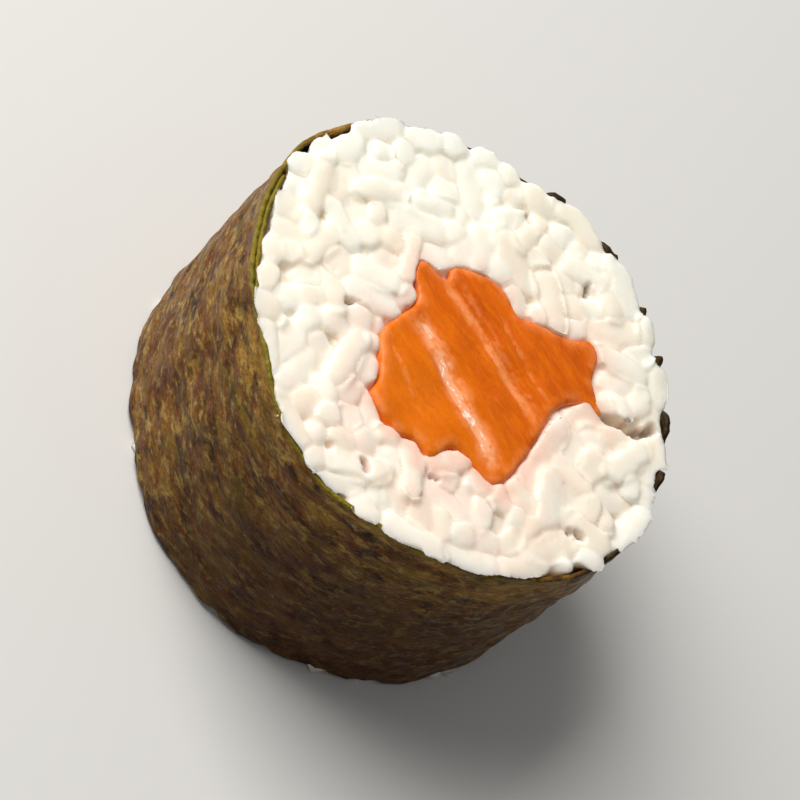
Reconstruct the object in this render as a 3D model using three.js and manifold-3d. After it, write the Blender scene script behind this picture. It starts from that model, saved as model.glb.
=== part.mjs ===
// A piece of salmon maki: a strip of salmon in vinegared rice, wrapped in a sheet of nori.
// The piece stands on one cut face with its axis along +Z and the other cut face up.
// Sizes are in millimetres, and the origin is the middle of the underside.

import * as THREE from "three";
import { mergeVertices } from "three/addons/utils/BufferGeometryUtils.js";
import Module from "manifold-3d";

const wasm = await Module();
wasm.setup();

// ---- Driving dimensions ----

const PIECE_LENGTH = 17.2; // from one cut face of the rice to the other
const ROLL_RADIUS = 17.0; // outside of the nori at the upper end, where the sheet lies double
const ROLL_TAPER = 0.04; // how much thinner the roll's lower end is, as a share of its radius
const ROLL_LEAN = new THREE.Vector2(-1.55, 0.9); // from the lower face's middle to the upper's

const NORI_THICKNESS = 0.3; // a damp sheet
const NORI_OVERLAP = THREE.MathUtils.degToRad(40); // how far the sheet laps over itself
const NORI_FLAP_END = THREE.MathUtils.degToRad(236); // where the outer end of the sheet lies
const NORI_LAP_GAP = 0.1; // between the two layers of the lap
const NORI_SHORT_NEAR = 0.45; // the sheet stops this far short of the rice's cut face
const NORI_SHORT_FAR = 1.15; // and this far on the side where the rice swells over it
const SWELLING_SIDE = THREE.MathUtils.degToRad(75); // direction of that side
const FIT_GAP = 0.1; // between neighbouring pieces

// Waves round the roll: how many there are, how high they are and the angle that they start from.
const OUT_OF_ROUND = [
  // As shares of the radius
  { count: 2, height: 0.017, start: 0 },
  { count: 3, height: 0.012, start: -0.6 },
  { count: 4, height: 0.019, start: Math.PI / 2 },
];
const UPPER_EDGE_WAVES = [
  { count: 7, height: 0.1, start: 0 },
  { count: 17, height: 0.07, start: 1 },
];
const LOWER_EDGE_WAVES = [{ count: 9, height: 0.08, start: 2 }];
const FULLNESS = 0.008; // how much wider the roll is at mid-height, as a share of its radius

const GRAIN = { length: 5.6, width: 2.5, thickness: 2.2 }; // a cooked short grain
const GRAIN_PROFILE = [
  // Half a grain's outline, from end to end, as shares of its width and its length
  [0, -0.5],
  [0.39, -0.35],
  [0.5, 0],
  [0.39, 0.35],
  [0, 0.5],
];
const GRAIN_SIDES = 6;
const GRAIN_SHARES = [0.92, 1.08]; // the smallest and the largest grain beside that size
const GRAIN_SPACING = 2.9; // between the middles of neighbouring grains
const GRAIN_STRAY = 0.25; // how far a grain lies off its even place, each way
const GRAIN_DEPTH = 0.85; // from the cut face to the middle of a grain that it shows
const GRAIN_PITCH = 0.25; // how far a grain tips up or down, in radians
const STEEP_GRAINS = { share: 0.2, pitch: 0.9 }; // some tip up by this much more
const RIM_GRAIN_SPACING = 4.3; // along the nori's edge
const RIM_GRAIN_SWING = 0.45; // how far those grains turn from lying along it, in radians
const RIM_OVERHANG = 0.35; // how far the rim's grains stand out past the nori
const CORE_DEPTH = 0.85; // from the cut face to the packed rice behind the grains
const SLIVER = 0.06; // facets of the fused rice that are flat within this are joined
const RICE_SEED = 5; // for the grains' places and turns

const SALMON_SHORT = 0.3; // the salmon's upper cut face lies this far below the rice's
const SALMON_TWIST = THREE.MathUtils.degToRad(14); // from the lower face to the upper
const SALMON_OUTLINE = [
  // The upper cut face, from its right-hand tail, turning left
  [9.0, 7.2],
  [6.7, 8.4],
  [5.6, 10.1],
  [4.3, 10.5],
  [3.3, 8.9],
  [1.3, 7.2],
  [0.1, 6.0],
  [-2.3, 6.3],
  [-5.0, 3.7],
  [-4.5, 2.4],
  [-6.5, 1.6],
  [-6.2, 0.3],
  [-4.5, -0.8],
  [-4.3, -3.0],
  [-4.0, -5.4],
  [-1.7, -7.6],
  [-1.0, -9.1],
  [1.7, -9.3],
  [3.0, -8.2],
  [4.7, -8.0],
  [4.9, -5.6],
  [8.1, -4.9],
  [8.6, -3.6],
  [8.2, -1.0],
  [7.4, 1.6],
  [6.7, 4.0],
  [7.2, 6.3],
];
const SALMON_MIDDLE = new THREE.Vector2(1.3, 0.3);

// The seams of fat between the salmon's flakes, each a shallow groove in the cut face.
const SEAM_DEPTH = 0.2;
const SEAMS = [
  { left: [-5.2, 1.6], middle: [0.6, 1.9], right: [6.3, 1.4], width: 0.45 },
  { left: [-3.6, -1.3], middle: [2.2, -2.0], right: [7.4, -3.4], width: 0.7 },
  { left: [-2.0, 4.5], middle: [2.4, 4.9], right: [5.8, 4.4], width: 0.35 },
];

const WALL_STEPS = 108; // facets round the roll
const FULL_TURN = 2 * Math.PI;
const SHEET_TURN = FULL_TURN + NORI_OVERLAP;
const SHEET_START = NORI_FLAP_END - SHEET_TURN;
const LAYER_RISE = NORI_THICKNESS + NORI_LAP_GAP;
const INNER_RADIUS = ROLL_RADIUS - NORI_THICKNESS - LAYER_RISE;

// ---- Helpers ----

/** Draws numbers from 0 to 1 that are the same on each run. */
function seededRandom(seed) {
  let state = seed;
  return () => {
    state = (state + 0x6d2b79f5) | 0;
    let mixed = Math.imul(state ^ (state >>> 15), 1 | state);
    mixed = (mixed + Math.imul(mixed ^ (mixed >>> 7), 61 | mixed)) ^ mixed;
    return ((mixed ^ (mixed >>> 14)) >>> 0) / 4294967296;
  };
}

/** Draws a number between two others. */
function between(random, low, high) {
  return low + (high - low) * random();
}

/** The height at an angle of waves that run round the roll. */
function wavesAt(waves, angle) {
  return waves.reduce((sum, { count, height, start }) => {
    return sum + height * Math.sin(count * angle + start);
  }, 0);
}

/** A point at a radius and an angle round the roll's axis. */
function polar(radius, angle) {
  return new THREE.Vector2(radius * Math.cos(angle), radius * Math.sin(angle));
}

/** A closed geometry as a solid that can be joined and cut. */
function solidOf(geometry) {
  const bare = geometry.clone();
  bare.deleteAttribute("normal");
  bare.deleteAttribute("uv");
  const merged = mergeVertices(bare, 1e-4);
  return new wasm.Manifold(
    new wasm.Mesh({
      numProp: 3,
      vertProperties: merged.attributes.position.array,
      triVerts: new Uint32Array(merged.index.array),
    }),
  );
}

/** A solid as a geometry. */
function geometryOf(solid) {
  const mesh = solid.getMesh();
  const geometry = new THREE.BufferGeometry();
  geometry.setAttribute("position", new THREE.BufferAttribute(mesh.vertProperties, 3));
  geometry.setIndex(new THREE.BufferAttribute(mesh.triVerts, 1));
  return geometry.toNonIndexed();
}

/** Moves each vertex of a geometry by a function of its place. */
function reshape(geometry, move) {
  const positions = geometry.attributes.position;
  const point = new THREE.Vector3();
  for (let i = 0; i < positions.count; i++) {
    point.fromBufferAttribute(positions, i);
    move(point);
    positions.setXYZ(i, point.x, point.y, point.z);
  }
  return geometry;
}

/** A solid's main body without slivers: loose scraps go, and sealed hollows are filled. */
function cleanBody(solid) {
  return solid
    .asOriginal()
    .simplify(SLIVER)
    .decompose()
    .reduce((best, body) => (body.volume() > best.volume() ? body : best));
}

// ---- The roll's form, shared by its pieces ----

/** Presses a straight round form into the roll's uneven one, a little fuller at mid-height. */
function pressRoll(point) {
  const fullness = FULLNESS * Math.sin((Math.PI * point.z) / PIECE_LENGTH);
  const share = 1 + wavesAt(OUT_OF_ROUND, Math.atan2(point.y, point.x)) + fullness;
  point.x *= share;
  point.y *= share;
}

/** Leans and tapers the finished roll, as the knife cut it a little off square. */
function leanRoll(point) {
  const up = point.z / PIECE_LENGTH;
  const share = 1 - ROLL_TAPER * (1 - up);
  point.x = point.x * share + ROLL_LEAN.x * up;
  point.y = point.y * share + ROLL_LEAN.y * up;
}

/** How far the nori stops short of the cut face of the rice at an angle. */
function noriShort(angle) {
  const far = 0.5 + 0.5 * Math.cos(angle - SWELLING_SIDE);
  const even = THREE.MathUtils.lerp(NORI_SHORT_NEAR, NORI_SHORT_FAR, far * far);
  return even + wavesAt(UPPER_EDGE_WAVES, angle);
}

/** Height of the nori's upper edge at an angle. */
function noriTop(angle) {
  return PIECE_LENGTH - noriShort(angle);
}

/** Height of the nori's lower edge at an angle. */
function noriBottom(angle) {
  return NORI_SHORT_NEAR + wavesAt(LOWER_EDGE_WAVES, angle);
}

/** How much of a layer's thickness the sheet has climbed by a turn from its inner end. */
function sheetClimb(turn) {
  return THREE.MathUtils.clamp((turn - NORI_OVERLAP) / (FULL_TURN - NORI_OVERLAP), 0, 1);
}

/** Radius that the sheet leaves for the rice inside it at an angle. */
function riceRadius(angle) {
  const turn = THREE.MathUtils.euclideanModulo(angle - SHEET_START, FULL_TURN);
  const beforeStep = THREE.MathUtils.smoothstep(FULL_TURN - turn, 0.02, 0.14);
  return INNER_RADIUS + LAYER_RISE * sheetClimb(turn) * beforeStep;
}

/** Stretches a straight extrusion from z 0 to 1 between two edges that vary with the angle. */
function spanHeights(geometry, lower, upper) {
  return reshape(geometry, (point) => {
    const angle = Math.atan2(point.y, point.x);
    point.z = THREE.MathUtils.lerp(lower(angle), upper(angle), point.z);
  });
}

// ---- Nori ----

/** The sheet: a spiral of a little over one turn, thin as damp paper. */
function makeNori() {
  const steps = Math.round((WALL_STEPS * SHEET_TURN) / FULL_TURN);
  const inner = [];
  const outer = [];
  for (let i = 0; i <= steps; i++) {
    const turn = (i / steps) * SHEET_TURN;
    const radius = INNER_RADIUS + LAYER_RISE * sheetClimb(turn);
    inner.push(polar(radius, SHEET_START + turn));
    outer.push(polar(radius + NORI_THICKNESS, SHEET_START + turn));
  }
  const section = new THREE.Shape([...inner, ...outer.reverse()]);
  const sheet = new THREE.ExtrudeGeometry(section, { depth: 1, steps: 3, bevelEnabled: false });
  return reshape(spanHeights(sheet, noriBottom, noriTop), pressRoll);
}

/** The space that the nori needs: a thick ring from its inner face outwards. */
function makeNoriSpace() {
  const outline = [];
  const hole = [];
  for (let i = 0; i < WALL_STEPS; i++) {
    const angle = (i / WALL_STEPS) * FULL_TURN;
    outline.push(polar(ROLL_RADIUS + 3 * GRAIN.width, angle));
    hole.push(polar(riceRadius(angle) - FIT_GAP, angle));
  }
  const section = new THREE.Shape(outline);
  section.holes.push(new THREE.Path(hole));
  const ring = new THREE.ExtrudeGeometry(section, { depth: 1, steps: 3, bevelEnabled: false });
  const below = (angle) => noriBottom(angle) - FIT_GAP;
  const above = (angle) => noriTop(angle) + FIT_GAP;
  return solidOf(reshape(spanHeights(ring, below, above), pressRoll));
}

// ---- Salmon ----

/** The strip's outline as a smooth closed line, moved outwards by a margin. */
function salmonSection(margin) {
  const corners = SALMON_OUTLINE.map(([x, y]) => new THREE.Vector3(x, y, 0));
  const line = new THREE.CatmullRomCurve3(corners, true, "centripetal");
  const steps = 2 * corners.length;
  return new THREE.Shape(
    Array.from({ length: steps }, (_, i) => {
      const point = line.getPoint(i / steps);
      const along = line.getTangent(i / steps);
      return new THREE.Vector2(point.x + margin * along.y, point.y - margin * along.x);
    }),
  );
}

/** A strip of salmon between two heights, turning as it goes down. */
function salmonStrip(low, high, margin) {
  const strip = new THREE.ExtrudeGeometry(salmonSection(margin), {
    depth: high - low,
    steps: 4,
    bevelEnabled: false,
  });
  return reshape(strip, (point) => {
    point.z += low;
    const down = 1 - point.z / PIECE_LENGTH;
    const across = new THREE.Vector2(point.x, point.y);
    across.rotateAround(SALMON_MIDDLE, -SALMON_TWIST * down);
    point.x = across.x;
    point.y = across.y;
  });
}

/** A curved band across the salmon's upper face, as deep as a seam of fat is sunk. */
function makeSeam({ left, middle, right, width }) {
  const line = new THREE.QuadraticBezierCurve(
    new THREE.Vector2(...left),
    new THREE.Vector2(...middle),
    new THREE.Vector2(...right),
  );
  const run = line.getPoints(8);
  const half = new THREE.Vector2(0, width / 2);
  const section = new THREE.Shape([
    ...run.map((point) => point.clone().sub(half)),
    ...run.reverse().map((point) => point.clone().add(half)),
  ]);
  const band = new THREE.ExtrudeGeometry(section, { depth: 1, bevelEnabled: false });
  band.translate(0, 0, PIECE_LENGTH - SALMON_SHORT - SEAM_DEPTH);
  return solidOf(band);
}

/** The strip of salmon, cut across with the roll, with its seams of fat sunk a little. */
function makeSalmon() {
  const strip = solidOf(salmonStrip(0, PIECE_LENGTH - SALMON_SHORT, 0));
  return strip.subtract(wasm.Manifold.union(SEAMS.map(makeSeam)));
}

// ---- Rice ----

/** The packed rice behind the grains that show. */
function makeRiceCore() {
  const outline = [];
  for (let i = 0; i < WALL_STEPS; i++) {
    const angle = (i / WALL_STEPS) * FULL_TURN;
    outline.push(polar(riceRadius(angle) - 3 * FIT_GAP, angle));
  }
  const core = new THREE.ExtrudeGeometry(new THREE.Shape(outline), {
    depth: PIECE_LENGTH - 2 * CORE_DEPTH,
    bevelEnabled: false,
  });
  core.translate(0, 0, CORE_DEPTH);
  return solidOf(reshape(core, pressRoll));
}

/** One grain of cooked rice, with its long axis turned by a heading and raised by a pitch. */
function makeGrain(place, heading, pitch, size) {
  const profile = GRAIN_PROFILE.map(([x, y]) => new THREE.Vector2(x, y));
  const grain = new THREE.LatheGeometry(profile, GRAIN_SIDES);
  grain.rotateZ(Math.PI / 2);
  grain.scale(GRAIN.length * size, GRAIN.width * size, GRAIN.thickness * size);
  grain.rotateY(-pitch);
  grain.rotateZ(heading);
  grain.translate(place.x, place.y, place.z);
  return solidOf(grain);
}

/** Grains spread evenly over a cut face, like the seeds of a sunflower. */
function faceGrains(height, inward, random) {
  const goldenAngle = Math.PI * (3 - Math.sqrt(5));
  const reach = INNER_RADIUS - GRAIN.width / 2;
  const count = Math.round((Math.PI * reach ** 2) / GRAIN_SPACING ** 2);
  const stray = () => between(random, -GRAIN_STRAY, GRAIN_STRAY);
  return Array.from({ length: count }, (_, k) => {
    const spot = polar(reach * Math.sqrt((k + 0.5) / count), k * goldenAngle);
    const depth = GRAIN_DEPTH + stray();
    const place = new THREE.Vector3(spot.x + stray(), spot.y + stray(), height + inward * depth);
    pressRoll(place);
    const steep = random() < STEEP_GRAINS.share ? STEEP_GRAINS.pitch : 0;
    const pitch = steep + between(random, -GRAIN_PITCH, GRAIN_PITCH);
    return makeGrain(place, Math.PI * random(), pitch, between(random, ...GRAIN_SHARES));
  });
}

/** Grains along the nori's edge, which swell out over it. */
function rimGrains(height, inward, overhang, random) {
  const reach = ROLL_RADIUS + overhang - GRAIN.width / 2;
  const count = Math.round((FULL_TURN * reach) / RIM_GRAIN_SPACING);
  return Array.from({ length: count }, (_, k) => {
    const angle = ((k + between(random, 0, 0.4)) / count) * FULL_TURN;
    const spot = polar(reach - 2 * GRAIN_STRAY * random(), angle);
    const place = new THREE.Vector3(spot.x, spot.y, height + inward * GRAIN_DEPTH);
    pressRoll(place);
    const swing = between(random, -RIM_GRAIN_SWING, RIM_GRAIN_SWING);
    const pitch = between(random, -GRAIN_PITCH, GRAIN_PITCH) / 2;
    const size = between(random, ...GRAIN_SHARES);
    return makeGrain(place, angle + Math.PI / 2 + swing, pitch, size);
  });
}

/** A slab that keeps what lies between the two cut faces. */
function makeKnifeCut() {
  const slab = new THREE.BoxGeometry(4 * ROLL_RADIUS, 4 * ROLL_RADIUS, PIECE_LENGTH);
  slab.translate(0, 0, PIECE_LENGTH / 2);
  return solidOf(slab);
}

/** The rice: a packed core with the grains of both cut faces fused on. */
function makeRice() {
  const random = seededRandom(RICE_SEED);
  const pieces = [
    makeRiceCore(),
    ...faceGrains(PIECE_LENGTH, -1, random),
    ...rimGrains(PIECE_LENGTH, -1, RIM_OVERHANG, random),
    ...faceGrains(0, 1, random),
    ...rimGrains(0, 1, -NORI_THICKNESS, random),
  ];
  const heap = cleanBody(wasm.Manifold.union(pieces).intersect(makeKnifeCut()));
  const salmonSpace = solidOf(salmonStrip(-1, PIECE_LENGTH + 1, 2 * FIT_GAP));
  return cleanBody(heap.subtract(makeNoriSpace()).subtract(salmonSpace));
}

// ---- The piece ----

const materials = {
  nori: new THREE.MeshStandardMaterial({ color: 0x4a3822, roughness: 0.55, metalness: 0 }),
  rice: new THREE.MeshStandardMaterial({ color: 0xf3ecdc, roughness: 0.45, metalness: 0 }),
  salmon: new THREE.MeshStandardMaterial({ color: 0xe0640f, roughness: 0.35, metalness: 0 }),
};

/** A named mesh that leans with the roll, with flat-shaded facets. */
function part(name, geometry, material) {
  const facets = reshape(geometry, leanRoll);
  facets.computeVertexNormals();
  const mesh = new THREE.Mesh(facets, material);
  mesh.name = name;
  return mesh;
}

const maki = new THREE.Group();
maki.add(part("nori", makeNori(), materials.nori));
maki.add(part("rice", geometryOf(makeRice()), materials.rice));
maki.add(part("salmon", geometryOf(makeSalmon()), materials.salmon));

export default maki;
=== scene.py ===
"""Dresses one piece of salmon maki: packed rice, a crinkled sheet of nori and wet salmon."""

import logging
import math
from dataclasses import dataclass, fields
from enum import Enum

import bmesh
import bpy
import numpy as np
from mathutils import Matrix, Vector, noise


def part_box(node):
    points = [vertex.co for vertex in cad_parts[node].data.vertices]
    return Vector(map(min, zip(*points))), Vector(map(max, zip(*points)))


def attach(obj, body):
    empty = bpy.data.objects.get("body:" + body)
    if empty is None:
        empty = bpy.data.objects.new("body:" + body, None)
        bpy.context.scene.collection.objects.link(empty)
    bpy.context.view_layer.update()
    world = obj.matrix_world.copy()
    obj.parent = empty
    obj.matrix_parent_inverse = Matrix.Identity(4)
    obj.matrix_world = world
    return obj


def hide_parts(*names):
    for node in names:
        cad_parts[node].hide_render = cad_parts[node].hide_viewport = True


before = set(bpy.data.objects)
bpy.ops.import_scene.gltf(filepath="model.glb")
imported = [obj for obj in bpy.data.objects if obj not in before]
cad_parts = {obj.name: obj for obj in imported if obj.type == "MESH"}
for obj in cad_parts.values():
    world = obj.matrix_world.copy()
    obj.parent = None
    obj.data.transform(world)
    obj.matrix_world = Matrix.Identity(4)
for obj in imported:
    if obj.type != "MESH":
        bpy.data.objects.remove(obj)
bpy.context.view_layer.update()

LOG = logging.getLogger("maki")
MM = 0.001
FULL_TURN = 2 * math.pi
GOLDEN_ANGLE = math.pi * (3 - math.sqrt(5))
GOLDEN_SHARE = 0.6180339887
TINY = 1e-9
ROWS_AT_ONCE = 2000
BODY = "root"

Colour = tuple[float, float, float]


# ---- Helpers ----


def linear(code: str) -> Colour:
    """Turns a screen colour into a linear one.

    Args:
        code: Six hexadecimal digits, as on a screen.

    Returns:
        Red, green and blue in linear light.
    """
    parts = [int(code[i : i + 2], 16) / 255 for i in (0, 2, 4)]
    red, green, blue = (
        p / 12.92 if p <= 0.04045 else ((p + 0.055) / 1.055) ** 2.4 for p in parts
    )
    return red, green, blue


def smooth_step(value: np.ndarray, low: float, high: float) -> np.ndarray:
    """Rises from 0 at low to 1 at high, with no corner at either end.

    Args:
        value: Where to read the step.
        low: Value at which it starts.
        high: Value at which it ends.

    Returns:
        The step at each value.
    """
    share = np.clip((value - low) / (high - low), 0, 1)
    return share * share * (3 - 2 * share)


def noise_at(points: np.ndarray, scale: float, seed: float) -> np.ndarray:
    """Reads smooth noise at a list of points.

    Args:
        points: One point a row, in metres.
        scale: Length of one wave of the noise, in metres.
        seed: Moves the noise to a part of its own.

    Returns:
        Noise from about -1 to 1 at each point.
    """
    shift = Vector((seed, -seed, 0.5 * seed))
    return np.array([noise.noise(Vector(p) / scale + shift) for p in points])


@dataclass(frozen=True)
class Lumps:
    """Smooth unevenness, with its height, the length of its waves and a seed of its own.

    Drawn says how many times shorter its waves are along each axis.
    """

    height: float
    length: float
    seed: float
    drawn: tuple[float, float, float] = (1.0, 1.0, 1.0)

    def at(self, points: np.ndarray) -> np.ndarray:
        """Gives its height at each point, above 0 or below it."""
        return self.height * noise_at(points * self.drawn, self.length, self.seed)


def drift_at(points: np.ndarray, scale: float) -> np.ndarray:
    """Reads smooth noise at a list of points as one vector a row."""
    return np.array([noise.noise_vector(Vector(p) / scale) for p in points])


def facing(angle: np.ndarray, side: float) -> np.ndarray:
    """Says how much angles round the roll face one side of it, from 0 to 1."""
    return 0.5 + 0.5 * np.cos(angle - side)


def on_rings(radius: np.ndarray, angle: np.ndarray, height: np.ndarray) -> np.ndarray:
    """Gives points, one a row, from their radius, their angle and their height."""
    return np.column_stack([radius * np.cos(angle), radius * np.sin(angle), height])


def coordinates(mesh: bpy.types.Mesh) -> np.ndarray:
    """Gives a mesh's vertices as one array, a row for each."""
    places = np.empty(3 * len(mesh.vertices), np.float32)
    mesh.vertices.foreach_get("co", places)
    return places.reshape(-1, 3).astype(float)


def set_coordinates(mesh: bpy.types.Mesh, points: np.ndarray) -> None:
    """Moves a mesh's vertices to the rows of an array."""
    mesh.vertices.foreach_set("co", points.astype(np.float32).ravel())
    mesh.update()


def write_attribute(mesh: bpy.types.Mesh, name: str, values: np.ndarray) -> None:
    """Stores one number for each vertex under a name that materials can read."""
    layer = mesh.attributes.new(name, "FLOAT", "POINT")
    layer.data.foreach_set("value", values.astype(np.float32))


def add_object(name: str, data: bpy.types.ID) -> bpy.types.Object:
    """Adds an object to the scene, at the origin."""
    made = bpy.data.objects.new(name, data)
    bpy.context.scene.collection.objects.link(made)
    return made


def object_from(bm: bmesh.types.BMesh, name: str) -> bpy.types.Object:
    """Turns a bmesh into a smooth-shaded object at the origin.

    Args:
        bm: The mesh, which is freed.
        name: The object's name.

    Returns:
        The object, linked to the scene.
    """
    mesh = bpy.data.meshes.new(name)
    bm.to_mesh(mesh)
    bm.free()
    mesh.shade_smooth()
    return add_object(name, mesh)


def fuse(piece: bpy.types.Object, voxel: float, rounding: int) -> None:
    """Gives a piece one skin of even faces, and softens it.

    Args:
        piece: The piece, of closed shells that may overlap.
        voxel: The size of the new faces.
        rounding: How often to smooth the skin.
    """
    remesh = piece.modifiers.new("one skin", "REMESH")
    remesh.mode = "VOXEL"
    remesh.voxel_size = voxel
    graph = bpy.context.evaluated_depsgraph_get()
    mesh = bpy.data.meshes.new_from_object(piece.evaluated_get(graph))
    piece.modifiers.clear()
    piece.data = mesh
    bm = bmesh.new()
    bm.from_mesh(mesh)
    for _ in range(rounding):
        bmesh.ops.smooth_vert(
            bm, verts=bm.verts, factor=0.5, use_axis_x=True, use_axis_y=True, use_axis_z=True
        )
    bm.to_mesh(mesh)
    bm.free()
    mesh.shade_smooth()


# ---- The roll's form, as the solids have it ----


@dataclass(frozen=True)
class Wave:
    """A wave that runs round the roll."""

    count: int
    height: float
    start: float = 0.0

    def at(self, angle: np.ndarray) -> np.ndarray:
        """Gives the wave's height at an angle round the roll."""
        return self.height * np.sin(self.count * angle + self.start)


@dataclass(frozen=True)
class RollForm:
    """The form that nori, rice and salmon share, with z up the roll's axis."""

    length: float
    radius: float = 17.0 * MM
    nori_thickness: float = 0.3 * MM
    lap_gap: float = 0.1 * MM
    overlap: float = math.radians(40)
    flap_end: float = math.radians(236)
    inner_end_step: tuple[float, float] = (0.01, 0.05)
    fullness: float = 0.008
    taper: float = 0.04
    lean: tuple[float, float] = (-1.55 * MM, 0.9 * MM)

    # How far short of the cut faces the nori stops: most where the rice swells over its edge.
    short_near: float = 0.45 * MM
    short_below: float = 0.3 * MM
    short_far: float = 1.15 * MM
    swelling_side: float = math.radians(75)

    # The bits of nori between the rim's grains: where, in degrees, and how wide, in millimetres.
    rim_bits: tuple[tuple[float, float], ...] = (
        (3.0, 1.3),
        (30.5, 1.4),
        (45.0, 2.4),
        (61.5, 1.1),
        (74.0, 0.9),
        (90.0, 2.4),
        (107.5, 1.6),
    )
    bit_short: float = 0.12 * MM
    bit_slope: tuple[float, float] = (0.4, 1.5)

    # Waves in its outline and in the nori's two edges.
    out_of_round: tuple[Wave, ...] = (
        Wave(2, 0.017),
        Wave(3, 0.012, -0.6),
        Wave(4, 0.019, math.pi / 2),
    )
    upper_waves: tuple[Wave, ...] = (Wave(7, 0.1 * MM), Wave(17, 0.07 * MM, 1.0))
    lower_waves: tuple[Wave, ...] = (Wave(9, 0.08 * MM, 2.0),)

    @property
    def sheet_turn(self) -> float:
        """The whole angle that the sheet of nori runs round."""
        return FULL_TURN + self.overlap

    @property
    def sheet_start(self) -> float:
        """The angle of the sheet's inner end."""
        return self.flap_end - self.sheet_turn

    @property
    def layer_rise(self) -> float:
        """How much further out the sheet's second layer lies."""
        return self.nori_thickness + self.lap_gap

    @property
    def inner_radius(self) -> float:
        """The inside of the sheet's first layer."""
        return self.radius - self.nori_thickness - self.layer_rise

    def shares(self, angle: np.ndarray, height: np.ndarray) -> np.ndarray:
        """Says how much wider than round the roll is.

        Args:
            angle: Angles round the axis.
            height: Heights up the axis.

        Returns:
            The share of its round radius that each place has.
        """
        uneven = sum(wave.at(angle) for wave in self.out_of_round)
        return 1 + uneven + self.fullness * np.sin(math.pi * height / self.length)

    def press(self, points: np.ndarray) -> np.ndarray:
        """Presses points of a round roll into the uneven one."""
        angle = np.arctan2(points[:, 1], points[:, 0])
        share = self.shares(angle, points[:, 2])
        return np.column_stack([points[:, :2] * share[:, None], points[:, 2]])

    def leaned(self, points: np.ndarray) -> np.ndarray:
        """Leans and tapers points of the upright roll, as the knife cut it off square."""
        up = points[:, 2:] / self.length
        across = points[:, :2] * (1 - self.taper * (1 - up)) + np.array(self.lean) * up
        return np.column_stack([across, points[:, 2]])

    def rim_bit(self, angle: np.ndarray) -> np.ndarray:
        """Says where the nori shows between the rim's grains.

        Args:
            angle: Angles round the axis.

        Returns:
            How much it shows at each, from 0 to 1.
        """
        full, none = self.bit_slope
        shown = np.zeros(np.shape(angle))
        for degrees, width in self.rim_bits:
            off = np.abs(np.mod(angle - math.radians(degrees) + math.pi, FULL_TURN) - math.pi)
            half = 0.5 * width * MM / self.radius
            shown = np.maximum(shown, 1 - smooth_step(off, full * half, none * half))
        return shown

    def nori_top(self, angle: np.ndarray) -> np.ndarray:
        """Gives the height of the nori's upper edge at an angle."""
        far = facing(angle, self.swelling_side) ** 2
        short = self.short_near + (self.short_far - self.short_near) * far
        short = short + sum(wave.at(angle) for wave in self.upper_waves)
        return self.length - short + (short - self.bit_short) * self.rim_bit(angle)

    def nori_bottom(self, angle: np.ndarray) -> np.ndarray:
        """Gives the height of the nori's lower edge at an angle."""
        return self.short_below + sum(wave.at(angle) for wave in self.lower_waves)

    def sheet_radius(self, turn: np.ndarray) -> np.ndarray:
        """Gives the inside of the sheet at a turn from its inner end."""
        climb = np.clip((turn - self.overlap) / (FULL_TURN - self.overlap), 0, 1)
        return self.inner_radius + self.layer_rise * climb

    def rice_radius(self, angle: np.ndarray) -> np.ndarray:
        """Gives the room that the sheet leaves for rice at an angle."""
        turn = np.mod(angle - self.sheet_start, FULL_TURN)
        before_step = smooth_step(FULL_TURN - turn, *self.inner_end_step)
        return self.inner_radius + (self.sheet_radius(turn) - self.inner_radius) * before_step


@dataclass(frozen=True)
class Strand:
    """A line of fat across the salmon's cut face: y = height + slope x + bow x x, in mm."""

    height: float
    slope: float
    bow: float
    width: float
    start: float
    end: float
    strength: float

    def seam(self, face: np.ndarray) -> np.ndarray:
        """Says how deep the seam along the line is.

        Args:
            face: Places on the upper face, in millimetres, one a row.

        Returns:
            Its depth at each, from 0 to about 1.
        """
        line = self.height + self.slope * face[:, 0] + self.bow * face[:, 0] ** 2
        off = (face[:, 1] - line) / (SEAM_SHARE * self.width)
        ends = smooth_step(face[:, 0], self.start, self.start + STRAND_FADE)
        ends *= smooth_step(-face[:, 0], -self.end, -self.end + STRAND_FADE)
        return self.strength * np.exp(-(off**2)) * ends


STRANDS = (
    Strand(-2.3, -0.15, -0.004, 1.5, -4.8, 9.0, 0.74),
    Strand(-2.5, -0.13, -0.004, 0.9, -2.6, 8.0, 1.05),
    Strand(2.05, -0.06, -0.006, 0.75, -5.6, 7.8, 0.62),
    Strand(2.85, -0.1, 0.0, 0.6, -5.0, 7.0, 0.34),
    Strand(4.4, -0.12, 0.0, 0.4, -1.5, 7.0, 0.4),
    Strand(-5.9, -0.3, 0.0, 0.5, -4.6, 2.6, 0.4),
)
STRAND_FADE = 2.2
SEAM_SHARE = 0.8

# The corners of the salmon's outline on the upper face, in millimetres, turning left.
SALMON_CORNERS = (
    (9.0, 7.2), (6.7, 8.4), (5.6, 10.1), (4.3, 10.5), (3.3, 8.9), (1.3, 7.2), (0.1, 6.0),
    (-2.3, 6.3), (-5.0, 3.7), (-4.5, 2.4), (-6.5, 1.6), (-6.2, 0.3), (-4.5, -0.8),
    (-4.3, -3.0), (-4.0, -5.4), (-1.7, -7.6), (-1.0, -9.1), (1.7, -9.3), (3.0, -8.2),
    (4.7, -8.0), (4.9, -5.6), (8.1, -4.9), (8.6, -3.6), (8.2, -1.0), (7.4, 1.6),
    (6.7, 4.0), (7.2, 6.3),
)


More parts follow.
